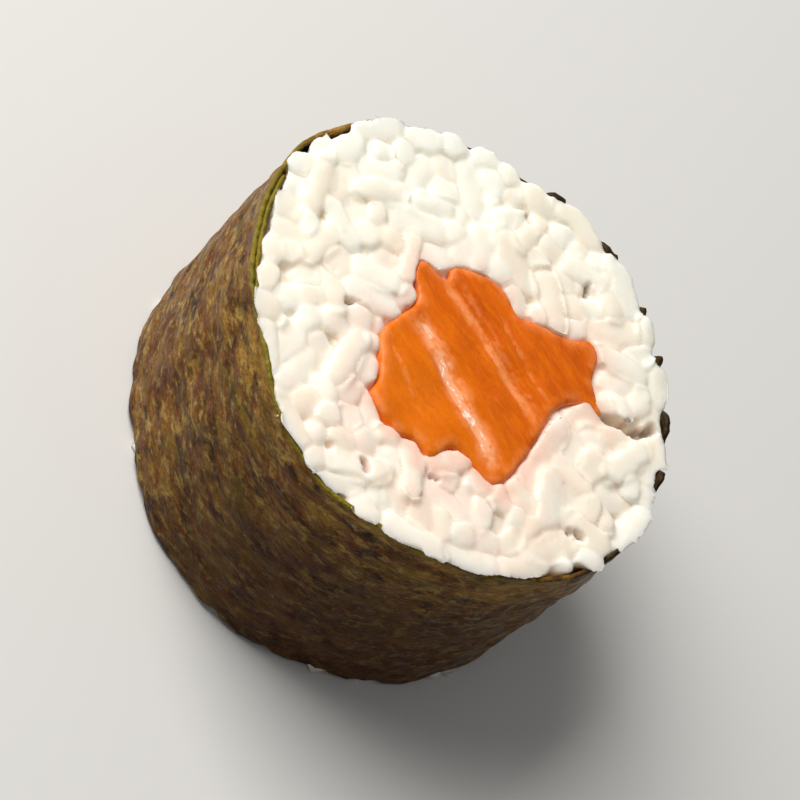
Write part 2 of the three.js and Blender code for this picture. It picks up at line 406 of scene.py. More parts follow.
@dataclass(frozen=True)
class SalmonForm:
    """The strip of salmon's outline, and how it turns towards the lower face."""

    length: float
    middle: tuple[float, float] = (1.3 * MM, 0.3 * MM)
    twist: float = math.radians(14)
    short: float = 0.3 * MM

    def outline(self, steps: int) -> np.ndarray:
        """Draws the upper cut face's outline as a smooth closed line.

        Args:
            steps: How many points to put between two corners.

        Returns:
            The points in order, turning left, one a row.
        """
        corners = MM * np.array(SALMON_CORNERS)
        before, after, beyond = (np.roll(corners, shift, axis=0) for shift in (1, -1, -2))
        slope = after - before
        bend = 2 * before - 5 * corners + 4 * after - beyond
        twist = 3 * corners - before - 3 * after + beyond
        shares = np.arange(steps) / steps
        rows = [0.5 * (2 * corners + slope * s + bend * s**2 + twist * s**3) for s in shares]
        return np.stack(rows, axis=1).reshape(-1, 2)

    def place(self, points: np.ndarray, height: np.ndarray, inverse: bool = False) -> np.ndarray:
        """Takes points from the upper face's outline down the strip, or back up.

        Args:
            points: Points across the axis, one a row.
            height: The height of each.
            inverse: Whether to go back to where each lies on the upper face.

        Returns:
            The moved points.
        """
        angle = self.twist * (height / self.length - 1)
        if inverse:
            angle = -angle
        cos, sin = np.cos(angle), np.sin(angle)
        x, y = (points - self.middle).T
        return np.column_stack([x * cos - y * sin, x * sin + y * cos]) + self.middle

    def distance(self, points: np.ndarray) -> tuple[np.ndarray, np.ndarray]:
        """Measures how far points lie outside the strip.

        Args:
            points: Places in the roll, one a row.

        Returns:
            The distance of each, below 0 inside, and the direction away from the strip.
        """
        flat = self.place(points[:, :2], points[:, 2], inverse=True)
        start = self.outline(2)
        run = np.roll(start, -1, axis=0) - start
        gap = flat[:, None] - start[None]
        share = np.clip((gap * run).sum(2) / (run * run).sum(1), 0, 1)
        offset = gap - share[..., None] * run
        far = np.linalg.norm(offset, axis=2)
        nearest = far.argmin(axis=1)
        picked = np.arange(len(flat))
        ends = start + run
        above = (start[None, :, 1] > flat[:, None, 1]) != (ends[None, :, 1] > flat[:, None, 1])
        height = np.where(run[:, 1] == 0, 1e-12, run[:, 1])
        crossing = start[:, 0] + (flat[:, None, 1] - start[:, 1]) / height * run[:, 0]
        inside = (above & (flat[:, None, 0] < crossing)).sum(1) % 2 == 1
        sign = np.where(inside, -1.0, 1.0)
        away = offset[picked, nearest] / np.maximum(far[picked, nearest], TINY)[:, None]
        return far[picked, nearest] * sign, away * sign[:, None]


def dress(
    piece: bpy.types.Object, form: RollForm, node: str, finish: bpy.types.Material
) -> bpy.types.Object:
    """Leans a piece with the roll, gives it its finish and lets it stand for a solid.

    Args:
        piece: The piece, made upright.
        form: The roll's form.
        node: The solid that it replaces.
        finish: The piece's material.

    Returns:
        The finished piece.
    """
    piece.data.materials.append(finish)
    set_coordinates(piece.data, form.leaned(coordinates(piece.data)))
    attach(piece, BODY)
    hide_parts(node)
    LOG.info("%s: %d faces", piece.name, len(piece.data.polygons))
    return piece


# ---- Materials ----


@dataclass(frozen=True)
class Patches:
    """Patches of a tint, with as many waves to a unit of length as scale says.

    They start where the noise is low and are full where it is high. Their strength is the most that
    they hide of what they lie on, and drawn says how many times shorter they are along each axis.
    """

    colour: Colour
    scale: float
    low: float
    high: float
    strength: float = 1.0
    drawn: tuple[float, float, float] = (1.0, 1.0, 1.0)


@dataclass(frozen=True)
class Relief:
    """A fine relief: its waves to the metre, the share of finer lumps, its strength and height."""

    scale: float
    fine_share: float
    strength: float
    height: float


class NodeTree:
    """Adds nodes to a material or a node group, and joins them."""

    def __init__(self, tree: bpy.types.NodeTree) -> None:
        """Starts on a tree, which may hold nodes already."""
        self.tree = tree

    def feed(self, node: bpy.types.Node, inputs: dict) -> bpy.types.Node:
        """Sets or links a node's inputs.

        Args:
            node: The node.
            inputs: A value, or the socket that feeds it, for each input's name or number.

        Returns:
            The node.
        """
        for name, value in inputs.items():
            if isinstance(value, bpy.types.NodeSocket):
                self.tree.links.new(value, node.inputs[name])
            else:
                node.inputs[name].default_value = value
        return node

    def add(self, kind: str, inputs: dict | None = None, **settings: object) -> bpy.types.Node:
        """Adds a node.

        Args:
            kind: The node's type, without its ShaderNode prefix.
            inputs: What feed sets or links.
            **settings: The node's own properties.

        Returns:
            The node.
        """
        node = self.tree.nodes.new("ShaderNode" + kind)
        for name, value in settings.items():
            setattr(node, name, value)
        return self.feed(node, inputs or {})

    def math(self, operation: str, *values: object) -> bpy.types.NodeSocket:
        """Adds a sum of one, two or three numbers and gives its result."""
        return self.add("Math", dict(enumerate(values)), operation=operation).outputs[0]

    def vector(self, operation: str, *values: object) -> bpy.types.NodeSocket:
        """Adds a sum of two or three vectors and gives its result."""
        return self.add("VectorMath", dict(enumerate(values)), operation=operation).outputs[0]

    def parts(self, vector: object) -> bpy.types.bpy_prop_collection:
        """Splits a vector, and gives the sockets X, Y and Z."""
        return self.add("SeparateXYZ", {0: vector}).outputs

    def noise(self, vector: object, scale: object, detail: float = 4.0) -> bpy.types.NodeSocket:
        """Adds smooth noise with a number of waves to the metre, and gives its value."""
        inputs = {"Vector": vector, "Scale": scale, "Detail": detail}
        return self.add("TexNoise", inputs).outputs["Fac"]

    def span(self, value: object, low: object, high: object, *to: float) -> bpy.types.NodeSocket:
        """Stretches the range from low to high over 0 to 1, or over two other numbers."""
        start, end = to or (0.0, 1.0)
        inputs = {"Value": value, "From Min": low, "From Max": high, "To Min": start, "To Max": end}
        return self.add("MapRange", inputs, interpolation_type="SMOOTHSTEP").outputs["Result"]

    def sheen(self, vector: object, scale: float, low: float, high: float) -> bpy.types.NodeSocket:
        """Gives a roughness that comes and goes between two values."""
        return self.span(self.noise(vector, scale), 0.35, 0.65, low, high)

    def mix(self, share: object, first: object, second: object) -> bpy.types.NodeSocket:
        """Mixes two colours, each a socket or a Colour, and gives the result."""
        one, two = ((*c, 1.0) if isinstance(c, tuple) else c for c in (first, second))
        return self.add("Mix", {0: share, 6: one, 7: two}, data_type="RGBA").outputs[2]

    def tint(
        self, base: object, colour: Colour, mask: object, strength: object
    ) -> bpy.types.NodeSocket:
        """Lays a tint over a colour where a mask says, at a strength."""
        return self.mix(self.math("MULTIPLY", mask, strength), base, colour)

    def stretched(self, vector: object, scale: tuple[float, float, float]) -> bpy.types.NodeSocket:
        """Scales a vector before a texture reads it, and gives the result."""
        return self.add("Mapping", {"Vector": vector, "Scale": scale}).outputs["Vector"]

    def attribute(self, name: str) -> bpy.types.NodeSocket:
        """Reads a number that the mesh stores for each vertex."""
        return self.add("Attribute", attribute_name=name).outputs["Fac"]


class Effect(Enum):
    """The effects that are built once, each as a node group."""

    UPRIGHT = "upright"
    MOTTLE = "mottle"
    RELIEF = "fine_relief"
    STRAND = "strand"


def start_group(
    effect: Effect, numbers: tuple[str, ...], output: str, kind: str = "NodeSocketFloat"
) -> tuple[NodeTree, bpy.types.bpy_prop_collection]:
    """Starts an effect's node group, which reads a vector and some numbers.

    Args:
        effect: The effect.
        numbers: The names of the numbers that it reads.
        output: The name of its one output.
        kind: The type of that output's socket.

    Returns:
        The tree, and the sockets of what it reads.
    """
    group = bpy.data.node_groups.new(effect.value, "ShaderNodeTree")
    group.interface.new_socket("Vector", in_out="INPUT", socket_type="NodeSocketVector")
    for name in numbers:
        group.interface.new_socket(name, in_out="INPUT", socket_type="NodeSocketFloat")
    group.interface.new_socket(output, in_out="OUTPUT", socket_type=kind)
    return NodeTree(group), group.nodes.new("NodeGroupInput").outputs


def close_group(nodes: NodeTree, result: bpy.types.NodeSocket) -> bpy.types.NodeTree:
    """Joins a group's result to its output and gives the group."""
    nodes.feed(nodes.tree.nodes.new("NodeGroupOutput"), {0: result})
    return nodes.tree


def make_upright(form: RollForm) -> bpy.types.NodeTree:
    """Builds the way back from a place on the leaning roll to the upright one.

    Args:
        form: The roll's form, whose slight taper is left in.

    Returns:
        The group.
    """
    nodes, given = start_group(Effect.UPRIGHT, (), "Vector", "NodeSocketVector")
    up = nodes.math("DIVIDE", nodes.parts(given["Vector"])["Z"], form.length)
    back = nodes.add("CombineXYZ", {"X": -form.lean[0], "Y": -form.lean[1]}).outputs[0]
    moved = nodes.add("VectorMath", {0: back, "Scale": up}, operation="SCALE").outputs[0]
    return close_group(nodes, nodes.vector("ADD", given["Vector"], moved))


def make_mottle() -> bpy.types.NodeTree:
    """Builds the patches that come and go over a surface: noise kept between two levels."""
    nodes, given = start_group(Effect.MOTTLE, ("Scale", "Low", "High"), "Mask")
    rough = {"Detail": 6.0, "Roughness": 0.62, "Distortion": 0.4}
    inputs = {"Vector": given["Vector"], "Scale": given["Scale"]} | rough
    patches = nodes.add("TexNoise", inputs).outputs["Fac"]
    return close_group(nodes, nodes.span(patches, given["Low"], given["High"]))


def make_relief() -> bpy.types.NodeTree:
    """Builds a height of soft lumps with finer ones on them."""
    nodes, given = start_group(Effect.RELIEF, ("Scale", "Fine share"), "Height")
    lumps = nodes.noise(given["Vector"], given["Scale"], 3.0)
    finer = nodes.noise(given["Vector"], nodes.math("MULTIPLY", given["Scale"], 4.0), 5.0)
    part = nodes.math("MULTIPLY", finer, given["Fine share"])
    return close_group(nodes, nodes.math("ADD", lumps, part))


def make_strand() -> bpy.types.NodeTree:
    """Builds a soft line y = height + slope x + bow x x, in the units of its vector."""
    numbers = tuple(field.name.title() for field in fields(Strand))
    nodes, given = start_group(Effect.STRAND, (*numbers, "Fade"), "Mask")
    parts = nodes.parts(given["Vector"])
    square = nodes.math("MULTIPLY", parts["X"], parts["X"])
    line = nodes.math("MULTIPLY_ADD", parts["X"], given["Slope"], given["Height"])
    line = nodes.math("MULTIPLY_ADD", square, given["Bow"], line)
    off = nodes.math("ABSOLUTE", nodes.math("SUBTRACT", parts["Y"], line))
    across = nodes.span(nodes.math("DIVIDE", off, given["Width"]), 1.0, 0.15)
    enter = nodes.math("DIVIDE", nodes.math("SUBTRACT", parts["X"], given["Start"]), given["Fade"])
    leave = nodes.math("DIVIDE", nodes.math("SUBTRACT", given["End"], parts["X"]), given["Fade"])
    ends = nodes.math("MULTIPLY", nodes.span(enter, 0.0, 1.0), nodes.span(leave, 0.0, 1.0))
    mask = nodes.math("MULTIPLY", across, ends)
    return close_group(nodes, nodes.math("MULTIPLY", mask, given["Strength"]))


class Palette:
    """Makes materials that share one set of effects."""

    def __init__(self, form: RollForm) -> None:
        """Builds each effect once."""
        self.groups = {
            Effect.UPRIGHT: make_upright(form),
            Effect.MOTTLE: make_mottle(),
            Effect.RELIEF: make_relief(),
            Effect.STRAND: make_strand(),
        }

    def effect(self, nodes: NodeTree, effect: Effect, inputs: dict) -> bpy.types.NodeSocket:
        """Places an effect in a material, with a value or socket for each input."""
        return nodes.add("Group", inputs, node_tree=self.groups[effect]).outputs[0]

    def place(self, nodes: NodeTree) -> bpy.types.NodeSocket:
        """Gives the place on the object as if it stood upright, in metres."""
        place = nodes.add("TexCoord").outputs["Object"]
        return self.effect(nodes, Effect.UPRIGHT, {"Vector": place})

    def mottle(self, nodes: NodeTree, place: object, patches: Patches) -> bpy.types.NodeSocket:
        """Says where patches lie, from 0 to 1.

        Args:
            nodes: The material's tree.
            place: The place on the surface.
            patches: The patches.

        Returns:
            The mask, before the patches' strength.
        """
        drawn = nodes.stretched(place, patches.drawn)
        levels = {"Scale": patches.scale, "Low": patches.low, "High": patches.high}
        return self.effect(nodes, Effect.MOTTLE, {"Vector": drawn} | levels)

    def lay(
        self, nodes: NodeTree, place: object, base: object, *layers: Patches
    ) -> bpy.types.NodeSocket:
        """Lays patches over a colour, one layer on the other.

        Args:
            nodes: The material's tree.
            place: The place on the surface.
            base: The colour.
            *layers: The patches, the lowest first.

        Returns:
            The mottled colour.
        """
        for layer in layers:
            mask = self.mottle(nodes, place, layer)
            base = nodes.tint(base, layer.colour, mask, layer.strength)
        return base

    def emboss(self, nodes: NodeTree, place: object, relief: Relief) -> bpy.types.NodeSocket:
        """Gives the normals of a surface with a fine relief."""
        inputs = {"Vector": place, "Scale": relief.scale, "Fine share": relief.fine_share}
        lumps = self.effect(nodes, Effect.RELIEF, inputs)
        bump = {"Height": lumps, "Strength": relief.strength, "Distance": relief.height}
        return nodes.add("Bump", bump).outputs["Normal"]


def start_material(name: str) -> tuple[bpy.types.Material, NodeTree, bpy.types.Node]:
    """Makes a material, and gives it with its nodes and its shader."""
    made = bpy.data.materials.new(name)
    made.use_nodes = True
    return made, NodeTree(made.node_tree), made.node_tree.nodes["Principled BSDF"]


@dataclass(frozen=True)
class RiceFinish:
    """Cooked vinegared rice: moist, warm white, tinted where it meets the salmon, and darkened by
    painted shade behind the cut, along the seams and in the gaps.
    """

    bright: Colour = linear("f8f4e6")
    cream: Colour = linear("f5ecda")
    cream_tones: tuple[float, float] = (0.15, 0.9)
    cool: Patches = Patches(linear("e6ebde"), 190.0, 0.5, 0.72, 0.5)
    # Painted shade: the rice darkens where it lies deeper behind the cut face.
    deep: Colour = linear("e4d6c0")
    recess_shade_depths: tuple[float, float] = (0.5, 1.3)
    recess_shade_strength: float = 0.8
    blush: Colour = linear("fac6b2")
    blush_scale: float = 420.0
    blush_levels: tuple[float, float, float, float] = (0.3, 0.62, 0.35, 1.0)
    # Painted shade in the creases between grains.
    seam: Colour = linear("d2c4ac")
    crease_shade_levels: tuple[float, float] = (0.35, 0.95)
    seam_strength: float = 0.5
    # Painted shade in the pits and the cleft.
    gap_shade: Colour = linear("86664a")
    roughness: tuple[float, float] = (0.34, 0.55)
    relief: Relief = Relief(900.0, 0.35, 0.35, 0.12 * MM)

    def build(self, palette: Palette) -> bpy.types.Material:
        """Makes the material.

        Args:
            palette: The shared effects.

        Returns:
            The material.
        """
        made, nodes, shader = start_material("rice")
        place = palette.place(nodes)
        creamy = nodes.span(nodes.attribute("tone"), *self.cream_tones)
        base = nodes.mix(creamy, self.bright, self.cream)
        base = palette.lay(nodes, place, base, self.cool)
        # Painted shade, stronger where the rice lies deeper behind the cut face.
        low = nodes.span(nodes.attribute("depth"), *self.recess_shade_depths)
        base = nodes.tint(base, self.deep, low, self.recess_shade_strength)
        patches = nodes.span(nodes.noise(place, self.blush_scale), *self.blush_levels)
        base = nodes.tint(base, self.blush, nodes.attribute("blush"), patches)
        # Painted shade along the seams between grains.
        seam = nodes.span(nodes.attribute("seam"), *self.crease_shade_levels)
        base = nodes.tint(base, self.seam, seam, self.seam_strength)
        # Painted shade darkens the pits and the cleft.
        base = nodes.mix(nodes.attribute("gap_shade"), base, self.gap_shade)
        inputs = {
            "Base Color": base,
            "Roughness": nodes.sheen(place, 900.0, *self.roughness),
            "Normal": palette.emboss(nodes, place, self.relief),
            "Subsurface Weight": 0.75,
            "Subsurface Radius": (1.0, 0.9, 0.75),
            "Subsurface Scale": 1.1 * MM,
            "Specular IOR Level": 0.4,
        }
        nodes.feed(shader, inputs)
        return made


ROUND_ROLL = (1.0, 1.0, 2.0)


@dataclass(frozen=True)
class NoriFinish:
    """Damp nori: brown patches on dark, streaks of gold and olive, a fine crinkle, and painted
    light and shade: pale flecks as painted glints, gold stronger towards the top, painted shade on
    one side and lower down, and a painted highlight on the olive edge.
    """

    dark: Colour = linear("2e1a0a")
    brown: Patches = Patches(linear("704416"), 480.0, 0.34, 0.6, drawn=ROUND_ROLL)
    gold: Patches = Patches(linear("966e2a"), 310.0, 0.45, 0.62, drawn=(1.0, 1.0, 2.8))
    # The gold is the nori's own; it grows stronger towards the upper edge as painted light.
    gold_and_light_heights: tuple[float, float] = (10.0 * MM, 15.0 * MM)
    gold_and_light_strengths: tuple[float, float] = (0.5, 0.95)
    pale: Patches = Patches(linear("b09048"), 850.0, 0.48, 0.68, 0.82, ROUND_ROLL)
    fibres: Patches = Patches(linear("2e1a0a"), 2400.0, 0.4, 0.7, 0.52, ROUND_ROLL)
    olive: Patches = Patches(linear("76640e"), 190.0, 0.5, 0.64, 0.34, (1.0, 1.0, 2.5))
    red: Patches = Patches(linear("602008"), 120.0, 0.52, 0.7, 0.34, ROUND_ROLL)
    # Painted shade: darker towards one side of the roll, and more so lower down.
    side_shade: Colour = linear("301206")
    shade_side: tuple[float, float, float] = (0.64, -0.77, 0.0)
    shade_reach: tuple[float, float] = (4.0 * MM, 17.0 * MM)
    shade_heights: tuple[float, float] = (16.5 * MM, 8.0 * MM)
    shade_strength: float = 0.66
    # Painted highlights: pale flecks that stand for small glints, more of them on the lit side.
    glint_flecks: Patches = Patches(linear("c4aa7c"), 2600.0, 0.6, 0.7)
    glint_fleck_reach: tuple[float, float] = (10.0 * MM, -6.0 * MM)
    glint_fleck_strengths: tuple[float, float] = (0.12, 0.6)
    # The olive edge: the cut edge's own tint and a painted highlight along it, on the near side.
    edge: Colour = linear("7c7018")
    rim: Colour = linear("1c150a")
    edge_and_highlight_strength: float = 0.85
    roughness: tuple[float, float] = (0.3, 0.62)
    relief: Relief = Relief(620.0, 0.5, 1.0, 0.26 * MM)

    def build(self, palette: Palette) -> bpy.types.Material:
        """Makes the material.

        Args:
            palette: The shared effects.

        Returns:
            The material.
        """
        made, nodes, shader = start_material("nori")
        place = palette.place(nodes)
        height = nodes.parts(place)["Z"]
        base = palette.lay(nodes, place, self.dark, self.brown)
        # Gold streaks, stronger towards the upper edge as painted light.
        upper = nodes.span(height, *self.gold_and_light_heights, *self.gold_and_light_strengths)
        base = nodes.tint(base, self.gold.colour, palette.mottle(nodes, place, self.gold), upper)
        base = palette.lay(nodes, place, base, self.pale, self.fibres, self.olive, self.red)
        # Painted shade towards one side, growing towards the bottom.
        dot = nodes.add("VectorMath", {0: place, 1: self.shade_side}, operation="DOT_PRODUCT")
        towards = dot.outputs["Value"]
        lower = nodes.span(height, *self.shade_heights, 0.0, self.shade_strength)
        base = nodes.tint(base, self.side_shade, nodes.span(towards, *self.shade_reach), lower)
        # Painted highlights as pale flecks, stronger on the lit side.
        lit_side = nodes.span(towards, *self.glint_fleck_reach, *self.glint_fleck_strengths)
        base = nodes.tint(base, self.glint_flecks.colour, palette.mottle(nodes, place, self.glint_flecks), lit_side)
        # Painted highlight: the olive line along the near side's cut edge.
        base = nodes.tint(base, self.edge, nodes.attribute("edge"), self.edge_and_highlight_strength)
        base = nodes.tint(base, self.rim, nodes.attribute("dark_edge"), self.edge_and_highlight_strength)
        inputs = {
            "Base Color": base,
            "Roughness": nodes.sheen(place, 900.0, *self.roughness),
            "Normal": palette.emboss(nodes, nodes.stretched(place, ROUND_ROLL), self.relief),
            "Specular IOR Level": 0.15,
        }
        nodes.feed(shader, inputs)
        return made


@dataclass(frozen=True)
class SalmonFinish:
    """Raw salmon, cut across: deep orange flakes, pale fat between them, wet all over.

    What lies on its cut face is measured in millimetres.
    """

    form: SalmonForm
    deep: Colour = linear("c65400")
    flesh: Patches = Patches(linear("d86200"), 0.9, 0.36, 0.64, drawn=(0.25, 1.0, 0.3))
    warm: Patches = Patches(linear("e67a04"), 2.6, 0.46, 0.68, 0.45, (0.25, 1.0, 0.3))
    warm_side: tuple[float, float] = (3.0, -7.0)
    warm_side_strength: float = 0.5
    halo: Colour = linear("ee8a48")
    halo_levels: tuple[float, float] = (0.0, 0.6)
    halo_strength: float = 0.8
    fat: Colour = linear("f8ae80")
    fat_levels: tuple[float, float] = (0.45, 0.9)
    fat_strength: float = 0.85
    breaks_drawn: tuple[float, float, float] = (0.8, 1.0, 0.3)
    breaks_levels: tuple[float, float] = (0.58, 0.36)
    breaks_strength: float = 0.28
    # Painted highlights: white glints laid on the fat.
    glint: Patches = Patches(linear("fff0e4"), 1.7, 0.52, 0.62, drawn=(0.6, 1.0, 1.0))
    glint_levels: tuple[float, float] = (0.6, 0.95)
    fringe_levels: tuple[float, float] = (0.36, 0.6)
    fringe_strength: float = 0.7
    wobble: float = 1.1 * MM
    wobble_scale: float = 260.0
    roughness: tuple[float, float] = (0.35, 0.6)
    relief: Relief = Relief(650.0, 0.4, 0.5, 0.15 * MM)
    relief_drawn: tuple[float, float, float] = (1.0, 2.2, 1.0)

    def build(self, palette: Palette) -> bpy.types.Material:
        """Makes the material.

        Args:
            palette: The shared effects.

        Returns:
            The material.
        """
        made, nodes, shader = start_material("salmon")
        place = palette.place(nodes)
        face = self.face(nodes, place)
        fat = self.seams(palette, nodes, face)
        base = palette.lay(nodes, face, self.deep, self.flesh, self.warm)
        bright_side = nodes.span(nodes.parts(face)["Y"], *self.warm_side)
        base = nodes.tint(base, self.warm.colour, bright_side, self.warm_side_strength)
        halo = nodes.span(fat, *self.halo_levels)
        base = nodes.tint(base, self.halo, halo, self.halo_strength)
        base = nodes.tint(base, self.fat, nodes.span(fat, *self.fat_levels), self.fat_strength)
        # Painted highlights: white glints along the fat lines.
        painted_glints = nodes.span(fat, *self.glint_levels)
        base = nodes.tint(base, self.glint.colour, palette.mottle(nodes, face, self.glint), painted_glints)
        fuzz = nodes.span(nodes.noise(place, 900.0), *self.fringe_levels)
        fringe = nodes.math("MULTIPLY", nodes.attribute("fringe"), fuzz)
        base = nodes.tint(base, self.halo, fringe, self.fringe_strength)
        fibres = nodes.stretched(place, self.relief_drawn)
        inputs = {
            "Base Color": base,
            "Roughness": nodes.sheen(place, 800.0, *self.roughness),
            "Normal": palette.emboss(nodes, fibres, self.relief),
            "Subsurface Weight": 0.15,
            "Subsurface Radius": (1.0, 0.5, 0.2),
            "Subsurface Scale": 1.0 * MM,
            "Specular IOR Level": 0.15,
            "Coat Weight": 0.1,
            "Coat Roughness": 0.12,
        }
        nodes.feed(shader, inputs)
        return made

    def face(self, nodes: NodeTree, place: bpy.types.NodeSocket) -> bpy.types.NodeSocket:
        """Gives the wavering place on the upper face, in mm, from which a place's fibre comes.

        Args:
            nodes: The material's tree.
            place: The place in the strip.

        Returns:
            The place on the face.
        """
        down = nodes.math("SUBTRACT", self.form.length, nodes.parts(place)["Z"])
        angle = nodes.math("MULTIPLY", down, self.form.twist / self.form.length)
        centre = (*self.form.middle, 0.0)
        turn = {"Vector": place, "Center": centre, "Angle": angle}
        turned = nodes.add("VectorRotate", turn, rotation_type="Z_AXIS").outputs["Vector"]
        inputs = {"Vector": place, "Scale": self.wobble_scale, "Detail": 4.0}
        colour = nodes.add("TexNoise", inputs).outputs["Color"]
        across = nodes.vector("ADD", colour, (-0.5, -0.5, -0.5))
        shaken = nodes.vector("MULTIPLY_ADD", across, (self.wobble, self.wobble, 0.0), turned)
        return nodes.vector("MULTIPLY", shaken, (1 / MM,) * 3)

    def seams(
        self, palette: Palette, nodes: NodeTree, face: bpy.types.NodeSocket
    ) -> bpy.types.NodeSocket:
        """Says how much fat shows at a place on the upper face.

        Args:
            palette: The shared effects.
            nodes: The material's tree.
            face: The place on the face, in millimetres.

        Returns:
            The strongest line of fat there, less where the lines break up.
        """
        fat = 0.0
        for strand in STRANDS:
            inputs = {name.title(): value for name, value in vars(strand).items()}
            inputs |= {"Vector": face, "Fade": STRAND_FADE}
            fat = nodes.math("MAXIMUM", fat, palette.effect(nodes, Effect.STRAND, inputs))
        drawn = nodes.noise(nodes.stretched(face, self.breaks_drawn), 1.5)
        breaks = nodes.span(drawn, *self.breaks_levels)
        return nodes.math("SUBTRACT", fat, nodes.math("MULTIPLY", breaks, self.breaks_strength))


@dataclass(frozen=True)
class FloorFinish:
    """A plain pale table top."""

    colour: Colour = linear("d9d8d5")
    faint: Patches = Patches((0.7, 0.7, 0.7), 20.0, 0.3, 0.7, 0.15)

    def build(self, palette: Palette) -> bpy.types.Material:
        """Makes the material.

        Args:
            palette: The shared effects.

        Returns:
            The material.
        """
        made, nodes, shader = start_material("floor")
        base = palette.lay(nodes, palette.place(nodes), self.colour, self.faint)
        nodes.feed(shader, {"Base Color": base, "Roughness": 0.7})
        return made


# ---- Nori ----


@dataclass
class NoriSheet:
    """The sheet of nori, wrapped a little over once round the rice."""

    form: RollForm
    columns: int = 520
    rows: int = 84
    crowding: float = 1.15
    skin: float = 0.34 * MM

    # The sheet's outer end, pressed down on the layer below it.
    flap_run: float = math.radians(9)
    flap_press: float = 0.43 * MM
    flap_edge: Lumps = Lumps(0.9 * MM, 3.5 * MM, 6.0)
    flap_edge_run: float = 0.03

    # The cut edges, and the bits that show at the upper rim.
    upper_edge: Lumps = Lumps(0.1 * MM, 0.6 * MM, 4.0)
    lower_edge: Lumps = Lumps(0.55 * MM, 1.6 * MM, 12.0)
    bit_bend: Lumps = Lumps(0.28 * MM, 1.2 * MM, 17.0)
    bit_height: float = 1.3 * MM

    # The edge's olive tint on the near side, partly a painted highlight, and its dark one on the
    # far side.
    highlight_band: float = 0.3 * MM
    highlight_sides: tuple[float, float] = (0.1, 0.7)
    dark_band: float = 1.1 * MM
    dark_sides: tuple[float, float] = (-0.2, 0.3)

    # The crinkles, calmer towards the upper edge.
    calm_edge: float = 1.8 * MM
    crinkles: tuple[Lumps, ...] = (
        Lumps(0.24 * MM, 6.0 * MM, 3.0, (1.0, 1.0, 1.5)),
        Lumps(0.24 * MM, 3.4 * MM, 8.0, (1.0, 1.0, 1.7)),
        Lumps(0.13 * MM, 1.6 * MM, 15.0, (1.0, 1.0, 1.6)),
        Lumps(0.06 * MM, 0.8 * MM, 21.0, (1.0, 1.0, 1.4)),
    )

    def build(self, finish: bpy.types.Material) -> bpy.types.Object:
        """Makes the sheet.

        Args:
            finish: The nori's material.

        Returns:
            The piece.
        """
        bm = bmesh.new()
        bmesh.ops.create_grid(bm, x_segments=self.columns, y_segments=self.rows, size=0.5)
        flat = np.array([v.co for v in bm.verts])
        rolled, edge = self.rolled(flat[:, 0] + 0.5, flat[:, 1] + 0.5)
        # The olive edge is partly a painted highlight on the near side.
        edge_highlight = bm.verts.layers.float.new("edge")
        far_edge = bm.verts.layers.float.new("dark_edge")
        for vertex, point, near, far in zip(bm.verts, rolled, *edge):
            vertex.co = point
            vertex[edge_highlight] = near
            vertex[far_edge] = far
        bmesh.ops.recalc_face_normals(bm, faces=bm.faces)
        face = next(iter(bm.faces))
        middle = face.calc_center_median()
        if face.normal.dot(Vector((middle.x, middle.y, 0))) < 0:
            bmesh.ops.reverse_faces(bm, faces=bm.faces)
        bmesh.ops.solidify(bm, geom=bm.faces[:], thickness=self.skin)
        return dress(object_from(bm, "nori_sheet"), self.form, "nori", finish)

    def rolled(self, along: np.ndarray, up: np.ndarray) -> tuple[np.ndarray, tuple]:
        """Rolls the flat sheet round the rice.

        Args:
            along: Places along the sheet, from 0 at its inner end to 1.
            up: Places up the sheet, from 0 to 1.

        Returns:
            The rolled points of the sheet's outside, and how much each shows the cut edge's olive
            tint, partly a painted highlight, on the near side and its dark one on the far side.
        """
        up = 1 - (1 - up) ** self.crowding
        upward = np.column_stack([0 * up, 0 * up, self.form.length * up])
        uneven = self.flap_edge.at(upward) / self.form.radius
        turn = along * self.form.sheet_turn + uneven * smooth_step(along, 1 - self.flap_edge_run, 1)
        angle = self.form.sheet_start + turn
        far_side = facing(angle, self.form.swelling_side)
        around = np.column_stack([self.form.radius * angle, 0 * up, 0 * up])
        high = self.form.nori_top(angle) + (1 + 2 * far_side) * self.upper_edge.at(around)
        high = np.minimum(high, self.form.length)
        low = self.form.nori_bottom(angle) + np.clip(self.lower_edge.at(around), 0, None)
        height = low + (high - low) * up
        around[:, 2] = height
        near_top = smooth_step(height - high, -self.bit_height, 0.0)
        angle = angle + self.bit_bend.at(around) * near_top * far_side / self.form.radius
        flap = smooth_step(along, 1 - self.flap_run / self.form.sheet_turn, 1.0)
        radius = self.form.sheet_radius(turn) + self.form.nori_thickness - self.flap_press * flap
        outward = on_rings(1.0, angle, 0 * angle)
        pressed = self.form.press(on_rings(radius, angle, height))
        swell = sum(crinkle.at(pressed) for crinkle in self.crinkles)
        swell *= smooth_step(high - height, -self.calm_edge, self.calm_edge)
        return pressed + outward * swell[:, None], self.tints(angle, high - height)

    def tints(self, angle: np.ndarray, below: np.ndarray) -> tuple[np.ndarray, np.ndarray]:
        """Says how much each point shows the cut edge's tints.

        Args:
            angle: The angle of each point round the axis.
            below: How far each lies below the upper edge.

        Returns:
            The share of the near side's olive tint, partly a painted highlight, and that of the far
            side's dark one.
        """
        away = np.cos(angle - self.form.swelling_side)
        near = smooth_step(-away, *self.highlight_sides) * (1 - smooth_step(below, 0, self.highlight_band))
        far = smooth_step(away, *self.dark_sides) * (1 - smooth_step(below, 0, self.dark_band))
        return near, far


# ---- Salmon ----


